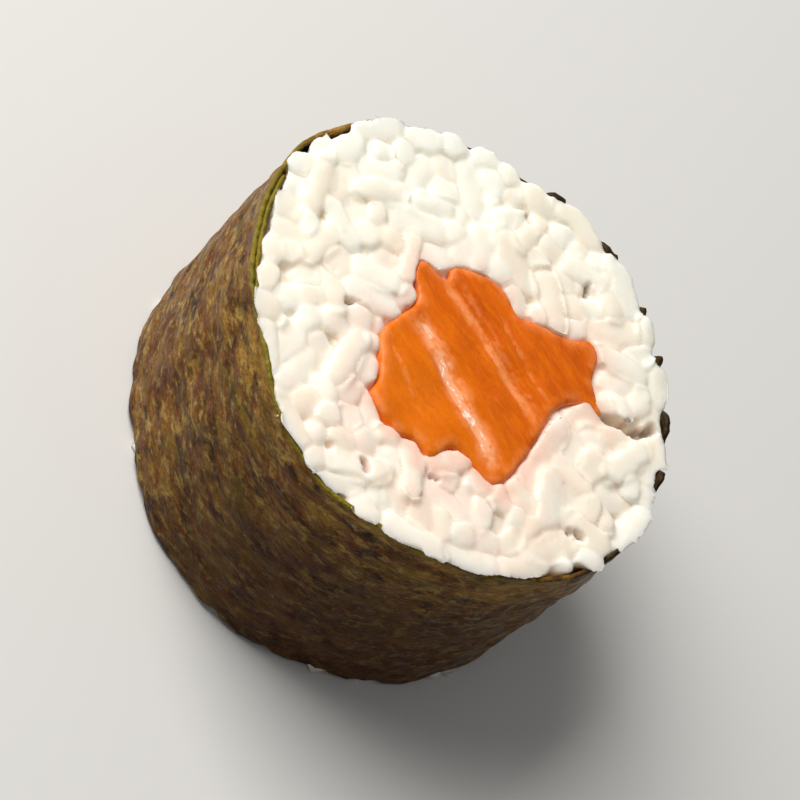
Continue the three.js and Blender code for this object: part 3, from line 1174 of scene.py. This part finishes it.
@dataclass
class SalmonStrip:
    """The strip of salmon through the middle of the roll."""

    roll: RollForm
    form: SalmonForm
    rows: int = 6
    voxel: float = 0.22 * MM
    rounding: int = 2
    seam_depth: float = 0.2 * MM
    lower_seams: float = 0.5
    flakes: Lumps = Lumps(0.16 * MM, 2.6 * MM, 5.0)
    fibres: Lumps = Lumps(0.05 * MM, 0.9 * MM, 9.0, (0.5, 1.0, 1.0))
    face_depth: float = 1.2 * MM
    fringe: float = 1.1 * MM

    @property
    def top(self) -> float:
        """The height of the strip's upper face."""
        return self.form.length - self.form.short

    def build(self, finish: bpy.types.Material) -> bpy.types.Object:
        """Makes the strip.

        Args:
            finish: The salmon's material.

        Returns:
            The piece.
        """
        piece = object_from(self.straight_strip(), "salmon_strip")
        fuse(piece, self.voxel, self.rounding)
        self.sink_seams(piece.data)
        distance, _ = self.form.distance(coordinates(piece.data))
        write_attribute(piece.data, "fringe", 1 - smooth_step(-distance, 0, self.fringe))
        return dress(piece, self.roll, "salmon", finish)

    def straight_strip(self) -> bmesh.types.BMesh:
        """Extrudes the outline downwards in rows that turn, and gives the closed mesh."""
        bm = bmesh.new()
        loop = self.form.outline(4)
        made = bmesh.ops.create_circle(bm, cap_ends=True, segments=len(loop), radius=1.0)
        for vertex, point in zip(made["verts"], loop):
            vertex.co = (*point, self.top)
        step = self.top / self.rows
        turned = Matrix.Rotation(-self.form.twist * step / self.form.length, 4, "Z")
        middle = Matrix.Translation((*self.form.middle, 0))
        move = Matrix.Translation((0, 0, -step)) @ middle @ turned @ middle.inverted()
        end = bm.faces[:]
        for number in range(self.rows):
            made = bmesh.ops.extrude_face_region(bm, geom=end, use_keep_orig=number == 0)
            end = [part for part in made["geom"] if isinstance(part, bmesh.types.BMFace)]
            corners = list({v for face in end for v in face.verts})
            bmesh.ops.transform(bm, matrix=move, verts=corners)
        bmesh.ops.recalc_face_normals(bm, faces=bm.faces)
        return bm

    def sink_seams(self, mesh: bpy.types.Mesh) -> None:
        """Sinks the seams of fat at the cut faces, and makes the flakes between them uneven.

        Args:
            mesh: The strip's mesh.
        """
        points = coordinates(mesh)
        on_top = smooth_step(points[:, 2], self.top - self.face_depth, self.top)
        on_base = smooth_step(-points[:, 2], -self.face_depth, 0)
        face = self.form.place(points[:, :2], points[:, 2], inverse=True) / MM
        sunk = np.max([strand.seam(face) for strand in STRANDS], axis=0)
        lumps = self.flakes.at(points) + self.fibres.at(points)
        points[:, 2] += on_top * (lumps - self.seam_depth * sunk)
        points[:, 2] += on_base * self.lower_seams * self.seam_depth * sunk
        set_coordinates(mesh, points)


# ---- Rice ----


class CutFace(Enum):
    """The roll's two cut faces."""

    UPPER = 1
    LOWER = -1


@dataclass(frozen=True)
class Gap:
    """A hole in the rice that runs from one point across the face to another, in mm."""

    start: tuple[float, float]
    end: tuple[float, float]
    half_width: float
    # How strongly painted shade darkens the gap.
    gap_shade: float
    ragged: Lumps = Lumps(0.3 * MM, 0.5 * MM, 2.0, (1.0, 1.0, 0.0))
    slope: tuple[float, float] = (-0.05 * MM, 0.3 * MM)

    def clearance(self, points: np.ndarray) -> tuple[np.ndarray, np.ndarray]:
        """Measures how far points lie from the gap.

        Args:
            points: Places in the roll, one a row.

        Returns:
            The direction away from the gap for each, and its distance from the gap's side.
        """
        start, end = MM * np.array(self.start), MM * np.array(self.end)
        run = end - start
        offset = points[:, :2] - start
        share = np.clip(offset @ run / (run @ run), 0, 1)
        offset = offset - share[:, None] * run
        far = np.linalg.norm(offset, axis=1)
        return offset / np.maximum(far, TINY)[:, None], far - self.half_width * MM

    def opened(self, points: np.ndarray) -> np.ndarray:
        """Says how far the gap opens at each point, from 0 to 1, with a ragged edge."""
        _, clear = self.clearance(points)
        return 1 - smooth_step(clear + self.ragged.at(points), *self.slope)


# The last number of each gap, here and in the cleft, is the strength of its painted shade.
PITS = (
    Gap((1.1, 13.4), (1.6, 12.8), 0.02, 0.6),
    Gap((-5.3, 12.4), (-4.6, 12.1), 0.0, 0.5),
    Gap((2.2, -12.9), (2.9, -13.5), 0.04, 0.65),
    Gap((-7.0, -6.4), (-6.6, -5.7), 0.03, 0.65),
    Gap((13.8, -1.4), (14.6, -0.8), 0.03, 0.6),
    Gap((5.2, -9.0), (5.9, -8.6), 0.0, 0.5),
)
CLEFT = (
    Gap((9.0, 7.4), (11.0, 9.0), 0.16, 0.5),
    Gap((11.0, 9.0), (11.7, 10.8), 0.2, 0.7),
)


@dataclass(frozen=True)
class Blush:
    """The salmon's colour in the rice: strong beside the strip, and faint all over one side."""

    side: float = math.radians(-60)
    reach: float = 1.7 * MM
    beside: float = 0.55
    more_beside: float = 0.4
    faint: float = 0.24

    def at(self, points: np.ndarray, distance: np.ndarray) -> np.ndarray:
        """Gives its strength.

        Args:
            points: Places in the roll, one a row.
            distance: How far each lies from the strip of salmon.

        Returns:
            The strength at each, from 0 to about 1.
        """
        far = np.clip(distance, 0, None)
        side = facing(np.arctan2(points[:, 1], points[:, 0]), self.side)
        strong = self.beside + self.more_beside * side
        return strong * np.exp(-far / self.reach) + self.faint * side**2


def mark_rice(
    mesh: bpy.types.Mesh, salmon: SalmonForm, deep: np.ndarray, gaps: tuple[Gap, ...] = ()
) -> None:
    """Stores what tints the rice: depth behind the cut, which paints shade, the salmon's colour,
    and painted shade in the gaps.

    Args:
        mesh: The rice's mesh.
        salmon: The strip's form.
        deep: How deep each vertex lies behind the nearer cut face.
        gaps: The gaps in the rice.
    """
    points = coordinates(mesh)
    distance, _ = salmon.distance(points)
    # Painted shade in the gaps, strongest where each opens.
    gap_shade = np.zeros(len(points))
    for gap in gaps:
        gap_shade = np.maximum(gap_shade, gap.gap_shade * gap.opened(points))
    write_attribute(mesh, "depth", np.clip(deep / MM, 0, None))
    write_attribute(mesh, "blush", Blush().at(points, distance))
    write_attribute(mesh, "gap_shade", gap_shade)


@dataclass
class RiceBlock:
    """A ring of rice round the salmon, from one height to another, with lumpy ends."""

    form: RollForm
    salmon: SalmonForm
    low: float
    high: float
    columns: int = 180
    cuts: int = 16
    lump: float = 0.3 * MM
    lump_length: float = 2.0 * MM
    inset: float = 0.3 * MM

    def add_to(self, bm: bmesh.types.BMesh) -> None:
        """Adds the ring to a mesh.

        Args:
            bm: The mesh.
        """
        loops = [
            self.ring(bm, self.inner(self.low), self.low),
            self.ring(bm, self.inner(self.high), self.high),
            self.ring(bm, self.outer(self.high), self.high),
            self.ring(bm, self.outer(self.low), self.low),
        ]
        ends = []
        for number, (one, two) in enumerate(zip(loops, loops[1:] + loops[:1])):
            made = bmesh.ops.bridge_loops(bm, edges=one + two)
            if number % 2:
                ends += made["edges"]
        divided = bmesh.ops.subdivide_edges(bm, edges=ends, cuts=self.cuts, use_grid_fill=True)
        middle = 0.5 * (self.low + self.high)
        for vertex in divided["geom_inner"]:
            if isinstance(vertex, bmesh.types.BMVert):
                lump = noise.noise(vertex.co / self.lump_length)
                vertex.co.z += math.copysign(self.lump, vertex.co.z - middle) * lump

    def ring(self, bm: bmesh.types.BMesh, points: np.ndarray, height: float) -> list:
        """Adds a closed loop through points at a height and gives its edges."""
        made = bmesh.ops.create_circle(bm, segments=self.columns, radius=1.0)["verts"]
        for vertex, point in zip(made, points):
            vertex.co = (*point, height)
        return list({edge for vertex in made for edge in vertex.link_edges})

    def inner(self, height: float) -> np.ndarray:
        """Draws the loop round the salmon.

        Args:
            height: Its height.

        Returns:
            Its points across the axis, one a row.
        """
        loop = self.salmon.outline(16)
        loop = self.salmon.place(loop, np.full(len(loop), height))
        offset = loop - self.salmon.middle
        around = np.unwrap(np.arctan2(offset[:, 1], offset[:, 0]))
        wanted = np.arange(self.columns) / self.columns * FULL_TURN + around[0]
        radius = np.interp(wanted, np.maximum.accumulate(around), np.linalg.norm(offset, axis=1))
        return on_rings(radius, wanted, 0 * wanted)[:, :2] + self.salmon.middle

    def outer(self, height: float) -> np.ndarray:
        """Draws the loop inside the nori, from beside the salmon's first corner.

        Args:
            height: Its height.

        Returns:
            Its points across the axis, one a row.
        """
        corner = MM * np.array(SALMON_CORNERS[:1])
        offset = self.salmon.place(corner, np.full(1, height))[0] - self.salmon.middle
        start = math.atan2(offset[1], offset[0])
        angle = np.arange(self.columns) / self.columns * FULL_TURN + start
        radius = self.form.rice_radius(angle) - self.inset
        return self.form.press(on_rings(radius, angle, np.full(self.columns, height)))[:, :2]


@dataclass
class Grains:
    """A list of grains: where each is, which way it lies, how large it is and how it is turned."""

    centre: np.ndarray
    axis: np.ndarray
    share: np.ndarray
    spin: np.ndarray


@dataclass
class GrainBed:
    """The grains at one cut face, packed side by side and cut through by the knife."""

    form: RollForm
    salmon: SalmonForm
    face: CutFace
    seed: int
    gaps: tuple[Gap, ...] = ()

    # How many grains there are, how large, how deep they lie and which way.
    count: int = 225
    length: float = 5.2 * MM
    width: float = 2.35 * MM
    thickness: float = 2.0 * MM
    sizes: tuple[float, float] = (0.8, 1.06)
    swelling: float = 1.13
    depth: float = 3.0 * MM
    proud: float = 0.25 * MM
    pitch: float = math.radians(22)

    # How they are pushed into place.
    steps: int = 220
    refresh: int = 10
    firmness: float = 0.84
    neighbour_reach: float = 1.7
    move_share: float = 0.4
    turn_share: float = 0.5
    lift: float = 0.03 * MM
    flatten: float = 0.985
    nori_room: float = 1.06
    salmon_room: float = 0.95
    deepest_push: float = 2.0 * MM

    # How far they reach: inside the nori, or a little over its edge.
    slack: float = 0.04 * MM
    overhang: tuple[float, float] = (0.05 * MM, 0.5 * MM)
    overhang_rise: float = 0.2 * MM
    bulge: float = 0.55
    bulges: Lumps = Lumps(0.45, 2.2 * MM, 3.0)

    # A grain's own form, and the knife's path through it.
    bow: float = 0.16
    lean: float = 0.1
    belly: float = 0.1
    bluntness: float = 2.6
    roundness: float = 2.3
    knife_tilt: float = math.radians(5)
    knife_drift: tuple[float, float] = (0.08 * MM, 0.36 * MM)
    warp: float = 0.2 * MM
    warp_length: float = 1.7 * MM
    warp_depths: tuple[float, float] = (0.2 * MM, 1.4 * MM)

    # The skin over them all, and the block behind them.
    voxel: float = 0.19 * MM
    rounding: int = 1
    skin_reach: float = 2.0 * MM
    dome: tuple[float, float] = (0.07 * MM, 0.22 * MM)
    steepest: float = 1.2
    drop: float = 0.17 * MM
    step_width: float = 0.09 * MM
    seam_depth: float = 0.1 * MM
    seam_width: float = 0.2 * MM
    seam_wave: float = 0.3 * MM
    seam_wave_length: float = 1.5 * MM
    seam_strength: float = 0.5
    seam_patches: Lumps = Lumps(1.1, 2.2 * MM, 7.0)
    seam_limits: tuple[float, float] = (0.1, 1.2)
    gap_depth: float = 0.9 * MM
    sink: float = 0.7 * MM
    block_depth: float = 4.2 * MM

    def __post_init__(self) -> None:
        """Starts the bed's own random draws."""
        self.random = np.random.default_rng(self.seed)

    @property
    def cut_height(self) -> float:
        """The height of the cut face."""
        return self.form.length if self.face is CutFace.UPPER else 0.0

    @property
    def block(self) -> RiceBlock:
        """The rice pressed together behind the grains."""
        near = self.cut_height - self.face.value * self.sink
        far = self.cut_height - self.face.value * self.block_depth
        return RiceBlock(self.form, self.salmon, min(near, far), max(near, far))

    def depth_of(self, height: np.ndarray) -> np.ndarray:
        """Gives how far heights lie behind the cut face."""
        return (self.cut_height - height) * self.face.value

    def reach(self, grains: Grains) -> np.ndarray:
        """Gives how far each grain's round ends lie from its middle."""
        return 0.5 * (self.length - self.width) * grains.share

    def build(self, name: str, finish: bpy.types.Material) -> bpy.types.Object:
        """Makes the bed as one piece of joined grains.

        Args:
            name: The piece's name.
            finish: The rice's material.

        Returns:
            The piece.
        """
        grains = self.scatter()
        self.pack(grains)
        bm = bmesh.new()
        for number in range(self.count):
            self.add_grain(bm, grains, number)
        self.block.add_to(bm)
        bmesh.ops.recalc_face_normals(bm, faces=bm.faces)
        piece = object_from(bm, name)
        self.settle(piece.data)
        fuse(piece, self.voxel, self.rounding)
        nearest, seam, depth = self.skin(coordinates(piece.data), grains)
        self.sink_skin(piece.data, depth)
        shade = self.random.uniform(size=self.count)
        write_attribute(piece.data, "tone", shade[nearest])
        write_attribute(piece.data, "seam", seam)
        deep = self.depth_of(coordinates(piece.data)[:, 2])
        mark_rice(piece.data, self.salmon, deep, self.gaps)
        return dress(piece, self.form, "rice", finish)

    def scatter(self) -> Grains:
        """Puts grains down evenly, in a spiral of equal turns, before they are packed."""
        number = np.arange(self.count)
        reach = self.form.inner_radius - 0.4 * self.width
        radius = reach * np.sqrt((number + 0.5) / self.count)
        angle = number * GOLDEN_ANGLE
        layer = (number * GOLDEN_SHARE) % 1
        height = self.cut_height - self.face.value * layer * self.depth
        centre = on_rings(radius, angle, height)
        centre[:, :2] += self.random.uniform(-0.5, 0.5, (self.count, 2)) * self.width
        heading = self.random.uniform(0, FULL_TURN, self.count)
        pitch = self.random.normal(0, self.pitch, self.count)
        axis = np.column_stack(
            [np.cos(heading) * np.cos(pitch), np.sin(heading) * np.cos(pitch), np.sin(pitch)]
        )
        share = self.random.uniform(*self.sizes, self.count)
        spin = self.random.uniform(0, math.pi, self.count)
        return Grains(self.form.press(centre), axis, share, spin)

    def pack(self, grains: Grains) -> None:
        """Pushes grains apart until they lie side by side between nori and salmon.

        Three balls along its axis stand for each grain.

        Args:
            grains: The grains, which are moved and turned.
        """
        reach = self.reach(grains)
        radius = np.repeat(0.5 * self.firmness * self.width * grains.share, 3)
        owner = np.repeat(np.arange(self.count), 3)
        offsets = np.array([-1.0, 0.0, 1.0])[None, :, None] * reach[:, None, None]
        for step in range(self.steps):
            balls = (grains.centre[:, None] + grains.axis[:, None] * offsets).reshape(-1, 3)
            if step % self.refresh == 0:
                one, two = self.neighbours(balls, owner)
            gap = balls[one] - balls[two]
            far = np.linalg.norm(gap, axis=1) + TINY
            overlap = np.clip(radius[one] + radius[two] - far, 0, None)
            share = 0.5 * gap * (overlap / far)[:, None]
            push = self.wall_push(balls, radius)
            np.add.at(push, one, share)
            np.add.at(push, two, -share)
            push = push.reshape(-1, 3, 3)
            grains.centre += self.move_share * push.sum(1)
            grains.centre[:, 2] += self.face.value * self.lift
            grains.axis += self.turn_share * (push[:, 2] - push[:, 0]) / (2 * reach[:, None])
            grains.axis[:, 2] *= self.flatten
            grains.axis /= np.linalg.norm(grains.axis, axis=1)[:, None]

    def neighbours(self, balls: np.ndarray, owner: np.ndarray) -> tuple[np.ndarray, np.ndarray]:
        """Finds the pairs of balls of different grains that lie near each other."""
        square = (balls**2).sum(1)
        far = square[:, None] + square[None] - 2 * balls @ balls.T
        near = (far < (self.neighbour_reach * self.width) ** 2) & (owner[:, None] < owner[None])
        return np.nonzero(near)

    def wall_push(self, balls: np.ndarray, radius: np.ndarray) -> np.ndarray:
        """Says how far nori, salmon, gaps and the bed's own depth push each ball back.

        Args:
            balls: Middles of the balls that stand for the grains.
            radius: Their radii.

        Returns:
            A push for each.
        """
        out = np.linalg.norm(balls[:, :2], axis=1)
        over = np.clip(out + self.nori_room * radius - self.room(balls), 0, None)
        push = np.zeros_like(balls)
        push[:, :2] -= balls[:, :2] / np.maximum(out, TINY)[:, None] * over[:, None]
        distance, away = self.salmon.distance(balls)
        into = np.clip(self.salmon_room * radius - distance, 0, self.deepest_push)
        push[:, :2] += away * into[:, None]
        for gap in self.gaps:
            away, clear = gap.clearance(balls)
            push[:, :2] += away * np.clip(radius - clear, 0, None)[:, None]
        deep = self.depth_of(balls[:, 2])
        push[:, 2] += self.face.value * np.clip(deep - self.depth, 0, None)
        push[:, 2] -= self.face.value * np.clip(self.proud - deep, 0, None)
        return push

    def room(self, points: np.ndarray) -> np.ndarray:
        """Gives how far out the rice may reach: to the nori, or a little over its edge.

        Args:
            points: Places in the roll, one a row.

        Returns:
            The distance from the axis that the rice may reach beside each.
        """
        angle = np.arctan2(points[:, 1], points[:, 0])
        inside = self.form.rice_radius(angle) - self.slack
        least, most = self.overhang
        far = facing(angle, self.form.swelling_side)
        bulge = self.bulge + self.bulges.at(on_rings(self.form.radius, angle, 0 * angle))
        outside = self.form.radius + least + (most * bulge - least) * far
        if self.face is CutFace.LOWER:
            beyond = self.form.nori_bottom(angle) - points[:, 2]
            past = smooth_step(beyond, 0.0, self.overhang_rise)
        else:
            beyond = points[:, 2] - self.form.nori_top(angle)
            past = smooth_step(beyond, 0.0, self.overhang_rise) * (1 - self.form.rim_bit(angle))
        room = inside + past * (outside - inside)
        return room * self.form.shares(angle, points[:, 2])

    def add_grain(self, bm: bmesh.types.BMesh, grains: Grains, number: int) -> None:
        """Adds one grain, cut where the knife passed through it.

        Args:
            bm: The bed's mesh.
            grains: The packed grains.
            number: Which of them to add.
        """
        made = bmesh.ops.create_uvsphere(bm, u_segments=8, v_segments=7, radius=1.0)["verts"]
        bow, belly, lean = self.random.uniform(-1, 1, 3)
        for vertex in made:
            x, y, z = vertex.co
            round_width = math.sqrt(max(1 - z * z, TINY))
            blunt = max(0.0, 1 - abs(z) ** self.bluntness) ** (1 / self.roundness) / round_width
            fat = blunt * (1 + self.belly * belly * z)
            aside, forward = self.bow * bow * z * z, self.lean * lean * z * z
            vertex.co = (x * fat + aside, y * fat + forward, z)
        half = 0.5 * grains.share[number] * self.swelling
        size = Matrix.Diagonal((self.width * half, self.thickness * half, self.length * half, 1))
        facing = Vector(grains.axis[number]).to_track_quat("Z", "Y").to_matrix().to_4x4()
        spin = Matrix.Rotation(grains.spin[number], 4, "Z")
        place = Matrix.Translation(Vector(grains.centre[number]))
        bmesh.ops.transform(bm, matrix=place @ facing @ spin @ size, verts=made)
        self.cut(bm, made)

    def cut(self, bm: bmesh.types.BMesh, made: list) -> None:
        """Cuts one grain at the knife's plane, which drifts a little from grain to grain.

        Args:
            bm: The bed's mesh.
            made: The grain's vertices.
        """
        tilt = self.random.uniform(-self.knife_tilt, self.knife_tilt, 2)
        drift = self.random.uniform(*self.knife_drift)
        side = self.face.value
        normal = Vector((math.sin(tilt[0]), math.sin(tilt[1]), side)).normalized()
        middle = sum((v.co for v in made), Vector()) / len(made)
        plane = Vector((middle.x, middle.y, self.cut_height - side * drift))
        if all((v.co - plane).dot(normal) < 0 for v in made):
            return
        faces = {face for v in made for face in v.link_faces}
        edges = {edge for v in made for edge in v.link_edges}
        geometry = [*made, *edges, *faces]
        cut = bmesh.ops.bisect_plane(
            bm, geom=geometry, dist=1e-7, plane_co=plane, plane_no=normal, clear_outer=True
        )
        rim = [part for part in cut["geom_cut"] if isinstance(part, bmesh.types.BMEdge)]
        bmesh.ops.edgeloop_fill(bm, edges=rim)

    def settle(self, mesh: bpy.types.Mesh) -> None:
        """Makes the grains a little uneven, and presses them flat against nori and salmon.

        Args:
            mesh: The bed's mesh.
        """
        points = coordinates(mesh)
        deep = smooth_step(self.depth_of(points[:, 2]), *self.warp_depths)
        shift = drift_at(points, self.warp_length)
        shift[:, 2] *= deep
        points += self.warp * shift
        out = np.linalg.norm(points[:, :2], axis=1)
        points[:, :2] *= np.minimum(1, self.room(points) / np.maximum(out, TINY))[:, None]
        distance, away = self.salmon.distance(points)
        into = np.clip(-distance, 0, self.width)
        points[:, :2] += away * into[:, None]
        set_coordinates(mesh, points)

    def skin(self, points: np.ndarray, grains: Grains) -> tuple[np.ndarray, np.ndarray, np.ndarray]:
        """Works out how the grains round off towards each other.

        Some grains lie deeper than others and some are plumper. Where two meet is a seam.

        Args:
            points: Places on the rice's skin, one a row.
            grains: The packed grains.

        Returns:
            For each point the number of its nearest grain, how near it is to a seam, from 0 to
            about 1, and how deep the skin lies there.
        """
        nearest = np.zeros(len(points), int)
        seam, depth = np.zeros(len(points)), np.zeros(len(points))
        dome = self.random.uniform(*self.dome, self.count)
        drop = self.drop * self.random.uniform(size=self.count) ** 2
        reach = self.reach(grains)
        behind = self.depth_of(points[:, 2])
        shallow = np.nonzero(behind < self.skin_reach)[0]
        wavy = drift_at(points[shallow], self.seam_wave_length)
        places = points[shallow] + self.seam_wave * wavy
        for start in range(0, len(shallow), ROWS_AT_ONCE):
            rows = shallow[start : start + ROWS_AT_ONCE]
            offset = places[start : start + ROWS_AT_ONCE][:, None] - grains.centre[None]
            along = np.clip((offset * grains.axis).sum(2), -reach, reach)
            far = np.linalg.norm(offset - along[..., None] * grains.axis, axis=2) / grains.share
            order = np.argsort(far, axis=1)[:, :2]
            pair = np.take_along_axis(far, order, axis=1)
            between = pair[:, 1] - pair[:, 0]
            rounded = np.clip(pair / (0.5 * self.width), 0, self.steepest) ** 2
            lower = dome[order] * rounded + drop[order]
            shared = 0.5 * np.exp(-between / self.step_width)
            nearest[rows] = order[:, 0]
            depth[rows] = lower[:, 0] * (1 - shared) + lower[:, 1] * shared
            seam[rows] = np.exp(-((between / self.seam_width) ** 2))
        seam *= np.clip(self.seam_strength + self.seam_patches.at(points), *self.seam_limits)
        fade = 1 - smooth_step(behind, 0.5 * self.skin_reach, self.skin_reach)
        depth = fade * (depth + self.seam_depth * seam)
        for gap in self.gaps:
            depth = np.maximum(depth, fade * self.gap_depth * gap.opened(points))
        return nearest, seam, depth

    def sink_skin(self, mesh: bpy.types.Mesh, depth: np.ndarray) -> None:
        """Sinks the rice's skin, mostly behind the cut face and less away from the nori.

        Args:
            mesh: The bed's mesh.
            depth: How far to sink each vertex.
        """
        normals = np.empty(3 * len(mesh.vertices), np.float32)
        mesh.vertices.foreach_get("normal", normals)
        sunk = depth[:, None] * normals.reshape(-1, 3) * (0.5, 0.5, 1)
        side = self.face.value
        sunk[:, 2] = side * np.maximum(side * sunk[:, 2], 0)
        points = coordinates(mesh) - sunk
        points[:, 2] = np.clip(points[:, 2], 0, self.form.length)
        set_coordinates(mesh, points)


@dataclass
class Rice:
    """All the rice: the core and the grains of both cut faces."""

    form: RollForm
    salmon: SalmonForm
    core_end: float = 3.4 * MM

    def build(self, finish: bpy.types.Material) -> list[bpy.types.Object]:
        """Makes the pieces of rice.

        Args:
            finish: The rice's material.

        Returns:
            The pieces.
        """
        upper = GrainBed(self.form, self.salmon, CutFace.UPPER, seed=5, gaps=PITS + CLEFT)
        lower = GrainBed(self.form, self.salmon, CutFace.LOWER, seed=8)
        return [
            self.build_core(finish),
            upper.build("rice_upper_grains", finish),
            lower.build("rice_lower_grains", finish),
        ]

    def build_core(self, finish: bpy.types.Material) -> bpy.types.Object:
        """Makes the rice between the grains of the two cut faces.

        Args:
            finish: The rice's material.

        Returns:
            The piece.
        """
        bm = bmesh.new()
        block = RiceBlock(self.form, self.salmon, self.core_end, self.form.length - self.core_end)
        block.add_to(bm)
        bmesh.ops.recalc_face_normals(bm, faces=bm.faces)
        piece = object_from(bm, "rice_core")
        plain = np.zeros(len(piece.data.vertices))
        write_attribute(piece.data, "tone", plain)
        write_attribute(piece.data, "seam", plain)
        mark_rice(piece.data, self.salmon, plain + self.core_end)
        return dress(piece, self.form, "rice", finish)


# ---- Studio ----


@dataclass(frozen=True)
class SoftBox:
    """A square soft light that faces the piece."""

    name: str
    direction: tuple[float, float, float]
    distance: float
    side: float
    power: float
    colour: Colour


@dataclass
class Studio:
    """The pale floor, the soft light, the sky and the camera."""

    elevation: float = math.radians(46.5)
    roll: float = math.radians(55.8)
    lens: float = 200.0
    distance: float = 0.30
    aim: tuple[float, float, float] = (-0.0012, 0.0011, 0.0088)
    floor_radius: float = 1.5
    key: SoftBox = SoftBox("key light", (-0.72, -0.03, 0.69), 0.45, 0.34, 2.95, (1.0, 0.98, 0.95))
    sky: float = 0.21

    def build(self, palette: Palette) -> None:
        """Makes the floor, the light, the sky and the camera.

        Args:
            palette: The shared effects.
        """
        bm = bmesh.new()
        bmesh.ops.create_circle(bm, cap_ends=True, segments=96, radius=self.floor_radius)
        floor = object_from(bm, "floor")
        floor.data.materials.append(FloorFinish().build(palette))
        self.add_light(self.key)
        world = bpy.data.worlds.new("studio")
        world.use_nodes = True
        background = world.node_tree.nodes["Background"]
        background.inputs["Color"].default_value = (1, 1, 1, 1)
        background.inputs["Strength"].default_value = self.sky
        bpy.context.scene.world = world
        bpy.context.scene.view_settings.view_transform = "Standard"
        self.add_camera()

    def add_light(self, box: SoftBox) -> None:
        """Adds a soft light that faces the piece.

        Args:
            box: The light.
        """
        data = bpy.data.lights.new(box.name, "AREA")
        data.size = box.side
        data.energy = box.power
        data.color = box.colour
        light = add_object(box.name, data)
        direction = Vector(box.direction).normalized()
        light.location = direction * box.distance
        light.rotation_euler = direction.to_track_quat("Z", "Y").to_euler()

    def add_camera(self) -> None:
        """Adds the camera, rolled as the photograph shows the piece."""
        data = bpy.data.cameras.new("camera")
        data.lens = self.lens
        data.clip_start = 0.01
        camera = add_object("camera", data)
        back = Vector((0, -math.cos(self.elevation), math.sin(self.elevation)))
        camera.location = Vector(self.aim) + back * self.distance
        facing = back.to_track_quat("Z", "Y").to_matrix().to_4x4()
        camera.rotation_euler = (facing @ Matrix.Rotation(self.roll, 4, "Z")).to_euler()
        bpy.context.scene.camera = camera


def main() -> None:
    """Builds the piece and its studio, and reports each part."""
    logging.basicConfig(level=logging.INFO, format="%(relativeCreated)d ms %(name)s: %(message)s")
    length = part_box("rice")[1].z
    form = RollForm(length)
    salmon = SalmonForm(length)
    palette = Palette(form)
    SalmonStrip(form, salmon).build(SalmonFinish(salmon).build(palette))
    Rice(form, salmon).build(RiceFinish().build(palette))
    NoriSheet(form).build(NoriFinish().build(palette))
    Studio().build(palette)


if __name__ == "__main__":
    main()
